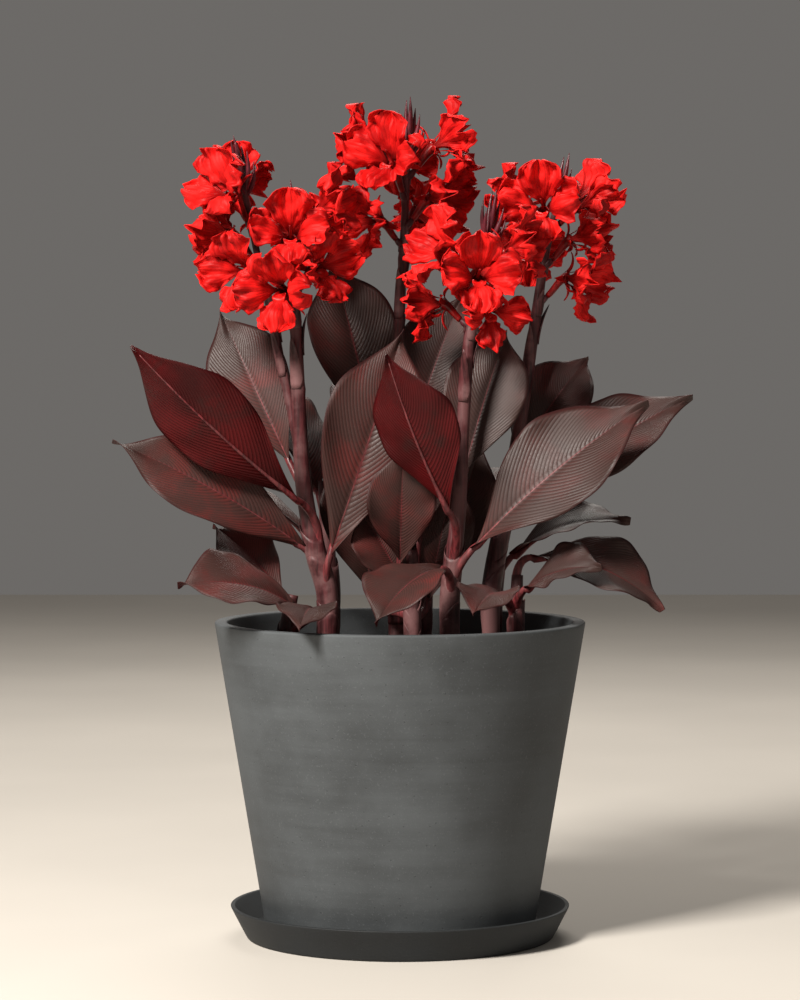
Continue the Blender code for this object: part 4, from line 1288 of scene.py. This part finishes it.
def solid(colour, factor=1.0):
    """A colour with its alpha, made lighter or darker."""
    return (*(factor * value for value in colour), 1.0)


def stoneware(name, colour, contrast):
    """Matte cast stoneware, mottled and pitted, with painted shade darkening the pits."""
    material, tree, shader = start_material(name)
    if tree is None:
        return material
    mottle = use_group(tree, mottle_group())
    body = blend(tree, mottle["Cloud"], solid(colour, 1 - contrast), solid(colour, 1 + contrast))
    body = tint(tree, body, mottle["Speck"], 0.35, solid(colour, 1.9))
    # Painted shade: the pits are darkened, as shade falls inside them.
    body = tint(tree, body, mottle["Pit"], 0.35, solid(colour, 0.35))
    rough = stretch(tree, mottle["Cloud"], 0.0, 1.0, 0.62, 0.80)
    height = less(tree, mottle["Relief"], times(tree, mottle["Pit"], 0.8))
    relief(tree, shader, height, 0.35, 0.0010)
    finish(tree, shader, body, rough, Specular_IOR_Level=0.35)
    return material


def leaf_material(look):
    """The upper side of a leaf: dark bronze with a grey sheen, pleated, with painted shade in the pleat
    valleys and a rosy midrib.
    """
    material, tree, shader = start_material("leaf upper side")
    if tree is None:
        return material
    veins = use_group(tree, vein_group())
    place = object_place(tree)
    patch = stretch(tree, cloud(tree, place, 7.0, 4.0), 0.35, 0.68)
    base = blend(tree, patch, solid(look.leaf_colour, 0.75), solid(look.leaf_flush, 0.95))
    # Painted shade: the colour darkens into the pleat valleys, where shade falls in the folds.
    ridge = stretch(tree, veins["Pleat"], 0.0, 0.8, 0.30, 1.0)
    base = blend(tree, ridge, solid(look.leaf_colour, 0.5), base)
    worn = stretch(tree, cloud(tree, place, 26.0, 5.0), 0.38, 0.62)
    base = tint(tree, base, veins["Fine"], worn, solid(look.leaf_colour, 1.35))
    base = tint(tree, base, worn, 0.35, solid(look.leaf_colour, 0.55))
    shown = times(tree, veins["Vein"], stretch(tree, worn, 0.0, 1.0, 0.12, 0.40))
    base = blend(tree, shown, base, solid(look.leaf_colour, 0.30))
    edge = times(tree, veins["Margin"], 0.6)
    base = blend(tree, edge, base, solid(look.underside_colour, 0.6))
    base = blend(tree, veins["Midrib"], base, solid(look.rib_colour, 0.6))
    fine = cloud(tree, place, 420.0, 2.0)
    rough = stretch(tree, plus(tree, times(tree, patch, 0.4), fine), 0.3, 1.1, 0.42, 0.62)
    height = plus(tree, veins["Pleat"], times(tree, veins["Fine"], 0.16))
    height = plus(tree, height, times(tree, fine, 0.06))
    relief(tree, shader, height, 0.34, 0.0010)
    finish(tree, shader, base, rough, Specular_IOR_Level=0.26)
    return material


def underside_material(look):
    """The underside of a leaf: maroon with paler veins."""
    material, tree, shader = start_material("leaf underside")
    if tree is None:
        return material
    veins = use_group(tree, vein_group())
    place = object_place(tree)
    patch = stretch(tree, cloud(tree, place, 9.0, 4.0), 0.35, 0.68)
    base = blend(tree, patch, solid(look.underside_colour, 0.55), solid(look.underside_colour, 1.7))
    dusk = stretch(tree, cloud(tree, place, 16.0, 5.0, 0.65), 0.52, 0.70)
    base = tint(tree, base, dusk, 0.75, solid(look.leaf_colour, 0.45))
    base = tint(tree, base, veins["Fine"], 0.25, solid(look.underside_colour, 0.5))
    shown = times(tree, veins["Vein"], 0.55)
    base = blend(tree, shown, base, solid(look.underside_colour, 0.35))
    base = blend(tree, veins["Midrib"], base, solid(look.rib_colour, 0.9))
    rough = stretch(tree, cloud(tree, place, 300.0, 2.0), 0.3, 0.7, 0.38, 0.55)
    height = less(tree, times(tree, veins["Fine"], 0.12), veins["Pleat"])
    relief(tree, shader, height, 0.50, 0.0010)
    finish(tree, shader, base, rough, Specular_IOR_Level=0.15)
    return material


def streaked(name, colour, wax, rough_low=0.42, rough_high=0.62, wax_share=0.42):
    """A stem, sheath or bract: streaked, with waxy bloom in patches."""
    material, tree, shader = start_material(name)
    if tree is None:
        return material
    streaks = use_group(tree, streak_group())
    base = blend(tree, streaks["Streak"], solid(colour, 0.40), solid(colour, 1.3))
    base = tint(tree, base, streaks["Wax"], wax_share, solid(wax))
    rough = stretch(tree, streaks["Wax"], 0.0, 1.0, rough_low, rough_high)
    relief(tree, shader, streaks["Relief"], 0.3, 0.0006)
    finish(tree, shader, base, rough, Specular_IOR_Level=0.28)
    return material


def stem_material(look):
    """A stem."""
    return streaked("stem", look.stem_colour, look.wax_colour)


def sheath_material(look):
    """A leaf sheath or bract, more waxy than the stem."""
    return streaked("sheath", look.stem_colour, look.wax_colour, 0.45, 0.66, 0.85)


def rib_material(look):
    """A leaf stalk and midrib."""
    return streaked("midrib", look.rib_colour, look.wax_colour, 0.38, 0.55, 0.25)


def bud_material(look):
    """A glossy dark bud."""
    sheen = tuple(2.2 * value for value in look.bud_colour)
    return streaked("bud", look.bud_colour, sheen, 0.25, 0.40, 0.5)


def ovary_material(look):
    """A dark warty ovary."""
    colour = tuple(0.9 * value for value in look.bud_colour)
    return streaked("ovary", colour, look.stem_colour, 0.35, 0.6, 0.4)


def petal_material(look):
    """A soft petal: veined and crumpled, with painted shade darkening the claw and a painted highlight
    lightening the rim.
    """
    material, tree, shader = start_material("ruffled petal")
    if tree is None:
        return material
    veins = use_group(tree, petal_vein_group())
    patch = stretch(tree, veins["Patch"], 0.35, 0.66)
    base = blend(tree, patch, solid(look.petal_colour, 0.75), solid(look.petal_light))
    base = tint(tree, base, veins["Vein"], 0.48, solid(look.petal_colour, 0.38))
    # Painted shade: the claw, deep in the throat, is darkened as shade falls there.
    base = tint(tree, base, veins["Claw"], 0.75, solid(look.petal_colour, 0.25))
    # Painted highlight: the rim is lightened, as the ruffled edges catch the light.
    base = tint(tree, base, veins["Edge"], 0.30, solid(look.petal_light, 1.1))
    rough = stretch(tree, veins["Patch"], 0.3, 0.7, 0.50, 0.68)
    relief(tree, shader, veins["Relief"], 0.60, 0.0010)
    finish(tree, shader, base, rough, Specular_IOR_Level=0.15)
    return material


def lip_material(look):
    """The spotted lip."""
    material, tree, shader = start_material("lip")
    if tree is None:
        return material
    place = object_place(tree)
    spots = place_node(tree, "ShaderNodeTexVoronoi", {"Vector": place, "Scale": 420.0}).outputs["Distance"]
    spot = stretch(tree, spots, 0.18, 0.34, 1.0, 0.0)
    tone = stretch(tree, cloud(tree, place, 90.0), 0.35, 0.65)
    base = blend(tree, tone, solid(look.petal_colour, 0.7), solid(look.petal_light, 1.0))
    base = tint(tree, base, spot, 0.6, solid(look.petal_colour, 0.22))
    rough = stretch(tree, spot, 0.0, 1.0, 0.40, 0.55)
    relief(tree, shader, cloud(tree, place, 240.0), 0.4, 0.0006)
    finish(tree, shader, base, rough, Specular_IOR_Level=0.12)
    return material


def throat_material(look):
    """The dark red tube and style of a bloom."""
    colour = tuple(0.40 * value for value in look.petal_colour)
    return streaked("throat", colour, look.petal_colour, 0.35, 0.5, 0.3)


def soil_material(look):
    """Dark crumbly soil with bits of bark."""
    material, tree, shader = start_material("soil")
    if tree is None:
        return material
    place = object_place(tree)
    crumbs = place_node(tree, "ShaderNodeTexVoronoi", {"Vector": place, "Scale": 170.0})
    grit = cloud(tree, place, 320.0, 5.0, 0.7)
    tone = place_node(tree, "ShaderNodeSeparateColor", {0: crumbs.outputs["Color"]}).outputs[0]
    base = blend(tree, tone, solid(look.soil_colour, 0.5), solid(look.soil_colour, 1.8))
    bark = stretch(tree, cloud(tree, place, 75.0, 2.0), 0.62, 0.68)
    base = tint(tree, base, bark, 0.7, solid(BARK_COLOUR))
    base = blend(tree, stretch(tree, grit, 0.66, 0.78), base, solid(GRIT_COLOUR))
    height = less(tree, grit, crumbs.outputs["Distance"])
    relief(tree, shader, height, 0.8, 0.0030)
    rough = stretch(tree, grit, 0.3, 0.7, 0.80, 0.98)
    finish(tree, shader, base, rough, Specular_IOR_Level=0.2)
    return material


def floor_material(colour):
    """A plain pale floor."""
    material, tree, shader = start_material("floor")
    if tree is None:
        return material
    place = object_place(tree)
    tone = stretch(tree, cloud(tree, place, 1.2, 3.0), 0.3, 0.7)
    base = blend(tree, tone, solid(colour, 0.97), solid(colour, 1.03))
    rough = stretch(tree, tone, 0.0, 1.0, 0.80, 0.88)
    finish(tree, shader, base, rough, Specular_IOR_Level=0.2)
    return material


# ---------------------------------------------------------------- settings


class CannaPotLook(PropertyGroup):
    """Colours of the pot, the saucer and the soil."""

    pot_colour: FloatVectorProperty(
        name="Pot", description="Base colour of the pot", subtype="COLOR", size=3, min=0, max=1,
        default=(0.0545, 0.0600, 0.0640),
    )
    saucer_colour: FloatVectorProperty(
        name="Saucer", description="Base colour of the saucer", subtype="COLOR", size=3, min=0, max=1,
        default=(0.0135, 0.0155, 0.0172),
    )
    contrast: FloatProperty(
        name="Mottling", description="How far the stoneware's clouds differ", subtype="FACTOR",
        min=0, max=0.9, default=0.34,
    )
    soil_colour: FloatVectorProperty(
        name="Soil", description="Base colour of the soil", subtype="COLOR", size=3, min=0, max=1,
        default=(0.022, 0.015, 0.011),
    )
    clod_height: FloatProperty(
        name="Clods", description="How high the soil's clods stand", subtype="DISTANCE", unit="LENGTH",
        min=0, max=0.01, default=0.0040,
    )


class CannaPlantLook(PropertyGroup):
    """Colours and relief of the plant."""

    leaf_colour: FloatVectorProperty(
        name="Leaf", description="Upper side of the leaves", subtype="COLOR", size=3, min=0, max=1,
        default=(0.036, 0.0175, 0.0150),
    )
    leaf_flush: FloatVectorProperty(
        name="Leaf flush", description="Reddish flush in patches on the leaves", subtype="COLOR", size=3,
        min=0, max=1, default=(0.098, 0.016, 0.014),
    )
    underside_colour: FloatVectorProperty(
        name="Underside", description="Underside of the leaves", subtype="COLOR", size=3, min=0, max=1,
        default=(0.048, 0.0016, 0.0022),
    )
    rib_colour: FloatVectorProperty(
        name="Midrib", description="Midribs and leaf stalks", subtype="COLOR", size=3, min=0, max=1,
        default=(0.130, 0.019, 0.022),
    )
    stem_colour: FloatVectorProperty(
        name="Stem", description="Stems under their wax", subtype="COLOR", size=3, min=0, max=1,
        default=(0.060, 0.013, 0.015),
    )
    wax_colour: FloatVectorProperty(
        name="Wax", description="Waxy bloom on stems, sheaths and bracts", subtype="COLOR", size=3,
        min=0, max=1, default=(0.150, 0.070, 0.070),
    )
    bud_colour: FloatVectorProperty(
        name="Bud", description="Buds and ovaries", subtype="COLOR", size=3, min=0, max=1,
        default=(0.070, 0.011, 0.016),
    )
    petal_colour: FloatVectorProperty(
        name="Petal", description="Red of the petals", subtype="COLOR", size=3, min=0, max=1,
        default=(0.430, 0.0026, 0.0028),
    )
    petal_light: FloatVectorProperty(
        name="Petal light", description="Lighter red at the rims and in patches", subtype="COLOR", size=3,
        min=0, max=1, default=(0.680, 0.0090, 0.0075),
    )
    pleat_depth: FloatProperty(
        name="Pleats", description="Depth of the pleats between the leaves' veins", subtype="DISTANCE",
        unit="LENGTH", min=0, max=0.003, default=0.0002,
    )
    ruffle_depth: FloatProperty(
        name="Ruffles", description="Depth of the ruffles round the petals", subtype="DISTANCE",
        unit="LENGTH", min=0, max=0.006, default=0.0040,
    )


class CannaStageLook(PropertyGroup):
    """Floor, light and camera."""

    floor_colour: FloatVectorProperty(
        name="Floor", description="Colour of the floor", subtype="COLOR", size=3, min=0, max=1,
        default=(0.50, 0.47, 0.43),
    )
    key_power: FloatProperty(
        name="Key light", description="Power of the main light", subtype="POWER", unit="POWER",
        min=0, default=390.0,
    )
    fill_power: FloatProperty(
        name="Fill light", description="Power of the fill light", subtype="POWER", unit="POWER",
        min=0, default=7.0,
    )
    back_power: FloatProperty(
        name="Back light", description="Power of the light behind", subtype="POWER", unit="POWER",
        min=0, default=77.0,
    )
    lens: FloatProperty(
        name="Lens", description="Focal length of the camera", subtype="DISTANCE_CAMERA",
        unit="CAMERA", min=20, max=300, default=120.4,
    )


# ---------------------------------------------------------------- operators


class CANNA_OT_saucer(Operator):
    """Turns the saucer"""

    bl_idname = "canna.saucer"
    bl_label = "Saucer"

    def execute(self, context):
        look = context.scene.canna_pot
        rim, foot = SAUCER["rim"], SAUCER["foot"]
        floor, height, lip = SAUCER["floor"], SAUCER["height"], SAUCER["lip"]
        corners = (  # radius, height, rounding
            (0.0, floor, 0),
            (foot - 0.006, floor, 0.004),
            (rim - lip, height, 0.0010),
            (rim, height, 0.0022),
            (foot + 0.007, 0.007, 0.004),
            (foot + 0.003, 0.0, 0.0028),
            (foot - 0.010, 0.0, 0.001),
            (foot - 0.013, SAUCER_HEEL, 0.001),
            (0.0, SAUCER_HEEL, 0),
        )
        profile = spaced(rounded(corners), SAUCER_RUN)
        material = stoneware("saucer stoneware", look.saucer_colour, look.contrast)
        settle(turned("saucer_dish", profile, material), "saucer_stoneware", "saucer")
        return {"FINISHED"}


class CANNA_OT_pot(Operator):
    """Turns the tapered pot and drills its drain holes"""

    bl_idname = "canna.pot"
    bl_label = "Pot"

    def execute(self, context):
        look = context.scene.canna_pot
        bottom = SAUCER["floor"] + FIT_GAP
        floor = bottom + POT["floor"]
        corners = (  # radius, height, rounding
            (0.0, floor, 0),
            (POT["foot"] - POT["wall"], floor, 2 * POT_EDGE),
            (POT["rim"] - POT["rim_width"], POT["top"], POT_EDGE),
            (POT["rim"], POT["top"], POT_EDGE),
            (POT["foot"], bottom, POT_EDGE),
            (0.0, bottom, 0),
        )
        profile = spaced(rounded(corners), POT_RUN)
        material = stoneware("pot stoneware", look.pot_colour, look.contrast)
        pot = turned("pot_body", profile, material)
        for i in range(DRAINS["count"]):
            turn = math.tau * (i + 0.5) / DRAINS["count"]
            x, y = DRAINS["ring"] * math.cos(turn), DRAINS["ring"] * math.sin(turn)
            places = [Vector((x, y, bottom - DRILL_REACH)), Vector((x, y, floor + DRILL_REACH))]
            mould = Mould()
            mould.tube(places, (DRAINS["radius"],) * 2, DRILL_SIDES)
            drill = mould.build(f"drain_drill_{i}", [material])
            cut = pot.modifiers.new("Drain", "BOOLEAN")
            cut.operation = "DIFFERENCE"
            cut.solver = "EXACT"
            cut.object = drill
        graph = context.evaluated_depsgraph_get()
        drilled = bpy.data.meshes.new_from_object(pot.evaluated_get(graph))
        pot.modifiers.clear()
        pot.data = drilled
        for i in range(DRAINS["count"]):
            bpy.data.objects.remove(bpy.data.objects[f"drain_drill_{i}"], do_unlink=True)
        settle(pot, "stoneware", "pot")
        return {"FINISHED"}


class CANNA_OT_soil(Operator):
    """Heaps the crumbly soil in the pot"""

    bl_idname = "canna.soil"
    bl_label = "Soil"

    def execute(self, context):
        look = context.scene.canna_pot
        low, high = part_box("soil")
        edge = high[0] - SOIL_PLAY
        rows = []
        broad, middling, fine = CLOD_SCALES
        for i in range(SOIL_RINGS + 1):
            radius = SOIL_EYE + (edge - SOIL_EYE) * i / SOIL_RINGS
            crown = 0.9 * SOIL_CROWN * (1 - ease(0.08, 0.19, radius))
            level = high[2] - SOIL_CROWN - SOIL_SINK + crown
            fade = ease(edge, edge - SOIL_MARGIN, radius)
            row = ring_at(radius, 0.0, SOIL_TURNS)
            for place in row:
                clods = abs(noise.noise(place * broad)) + 0.6 * abs(noise.noise(place * middling))
                clods += 0.35 * noise.noise(place * fine)
                place.z = min(level + look.clod_height * (clods - 0.4) * fade, high[2])
            rows.append(row)
        mould = Mould()
        mould.grid(rows, ring=True)
        mould.cap(0, SOIL_TURNS, Vector((0, 0, rows[0][0].z)), 0, True)
        wall = []
        for share in (0.0, 0.5, 1.0):
            height = rows[-1][0].z + (low[2] - rows[-1][0].z) * share
            base = POT["foot"] - POT["wall"] - 2 * FIT_GAP
            radius = edge + (base - edge) * share
            wall.append(ring_at(radius, height, SOIL_TURNS))
        wall[0] = rows[-1]
        start = len(mould.points)
        mould.grid(wall, ring=True)
        mould.cap(start + 2 * SOIL_TURNS, SOIL_TURNS, Vector((0, 0, low[2])), 0, False)
        soil = mould.build("soil_heap", [soil_material(look)])
        weld = soil.modifiers.new("Weld", "WELD")
        weld.merge_threshold = WELD_REACH
        settle(soil, "earth", "soil")
        return {"FINISHED"}


class CANNA_OT_shoots(Operator):
    """Grows the shoots: stems, sheaths, leaf stalks, blades, buds and ovaries"""

    bl_idname = "canna.shoots"
    bl_label = "Shoots"

    def execute(self, context):
        look = context.scene.canna_plant
        for shoot in STEMS:
            stem, sheaths = build_stem(shoot, look)
            settle(build_blades(shoot, look), "leaf", shoot)
            settle(build_ribs(shoot, look), "leaf", shoot)
            settle(stem, "leaf", shoot)
            settle(sheaths, "leaf", shoot)
            if shoot in RACEMES:
                settle(build_buds(shoot, look), "leaf", shoot)
                settle(build_ovaries(shoot, look), "leaf", shoot)
        return {"FINISHED"}


class CANNA_OT_blooms(Operator):
    """Opens the red blooms on their ovaries"""

    bl_idname = "canna.blooms"
    bl_label = "Blooms"

    def execute(self, context):
        look = context.scene.canna_plant
        for row in BLOOMS:
            settle(build_bloom(row, look), "petal", row[0])
        return {"FINISHED"}


class CANNA_OT_stage(Operator):
    """Sets the floor, the soft light and the camera"""

    bl_idname = "canna.stage"
    bl_label = "Stage"

    def execute(self, context):
        look = context.scene.canna_stage
        scene = context.scene
        ends = (-FLOOR_REACH, FLOOR_REACH)
        rows = [[Vector((x, y, -FLOOR_DROP)) for x in ends] for y in ends]
        mould = Mould()
        mould.grid(rows)
        floor = mould.build("floor", [floor_material(look.floor_colour)])
        world = bpy.data.worlds.new("studio")
        world.use_nodes = True
        sky = world.node_tree.nodes["Background"]
        sky.inputs["Color"].default_value = SKY_COLOUR
        sky.inputs["Strength"].default_value = SKY_STRENGTH
        scene.world = world
        scene.view_settings.view_transform = "Standard"
        powers = {"key": look.key_power, "fill": look.fill_power, "back": look.back_power}
        for name, size, place in LIGHTS:
            light = bpy.data.lights.new(name, "AREA")
            light.energy = powers[name]
            light.size = size
            light.color = LIGHT_COLOUR
            lamp = bpy.data.objects.new(name, light)
            lamp.location = place
            aim = Vector(LIGHT_AIM) - Vector(place)
            lamp.rotation_euler = aim.to_track_quat("-Z", "Y").to_euler()
            scene.collection.objects.link(lamp)
        lens = bpy.data.cameras.new("camera")
        lens.lens = look.lens
        lens.sensor_width = 36.0
        lens.sensor_fit = "AUTO"
        camera = bpy.data.objects.new("camera", lens)
        camera.location = CAMERA_PLACE
        camera.rotation_euler = (math.radians(90 - CAMERA_DIP), 0.0, 0.0)
        scene.collection.objects.link(camera)
        scene.camera = camera
        return {"FINISHED"}


class CANNA_PT_panel(Panel):
    """Lists the pieces and their settings"""

    bl_label = "Potted canna lily"
    bl_space_type = "VIEW_3D"
    bl_region_type = "UI"
    bl_category = "Canna"

    def draw(self, context):
        for operator in OPERATORS:
            self.layout.operator(operator.bl_idname)
        for group in (context.scene.canna_pot, context.scene.canna_plant, context.scene.canna_stage):
            box = self.layout.box()
            for name in group.__annotations__:
                box.prop(group, name)


OPERATORS = (
    CANNA_OT_stage, CANNA_OT_saucer, CANNA_OT_pot, CANNA_OT_soil, CANNA_OT_shoots, CANNA_OT_blooms,
)
SETTINGS = {"canna_pot": CannaPotLook, "canna_plant": CannaPlantLook, "canna_stage": CannaStageLook}


def register():
    """Makes the settings, operators and panel known."""
    for name, group in SETTINGS.items():
        bpy.utils.register_class(group)
        setattr(bpy.types.Scene, name, PointerProperty(type=group))
    for operator in OPERATORS:
        bpy.utils.register_class(operator)
    bpy.utils.register_class(CANNA_PT_panel)


def unregister():
    """Takes them away again."""
    bpy.utils.unregister_class(CANNA_PT_panel)
    for operator in reversed(OPERATORS):
        bpy.utils.unregister_class(operator)
    for name, group in SETTINGS.items():
        delattr(bpy.types.Scene, name)
        bpy.utils.unregister_class(group)


def plain(box):
    """A box as lists of numbers."""
    return [[float(value) for value in corner] for corner in box]


def main():
    """Builds every piece in order."""
    register()
    bpy.ops.canna.stage()
    bpy.ops.canna.saucer()
    bpy.ops.canna.pot()
    bpy.ops.canna.soil()
    bpy.ops.canna.shoots()
    bpy.ops.canna.blooms()


if __name__ == "__main__":
    main()
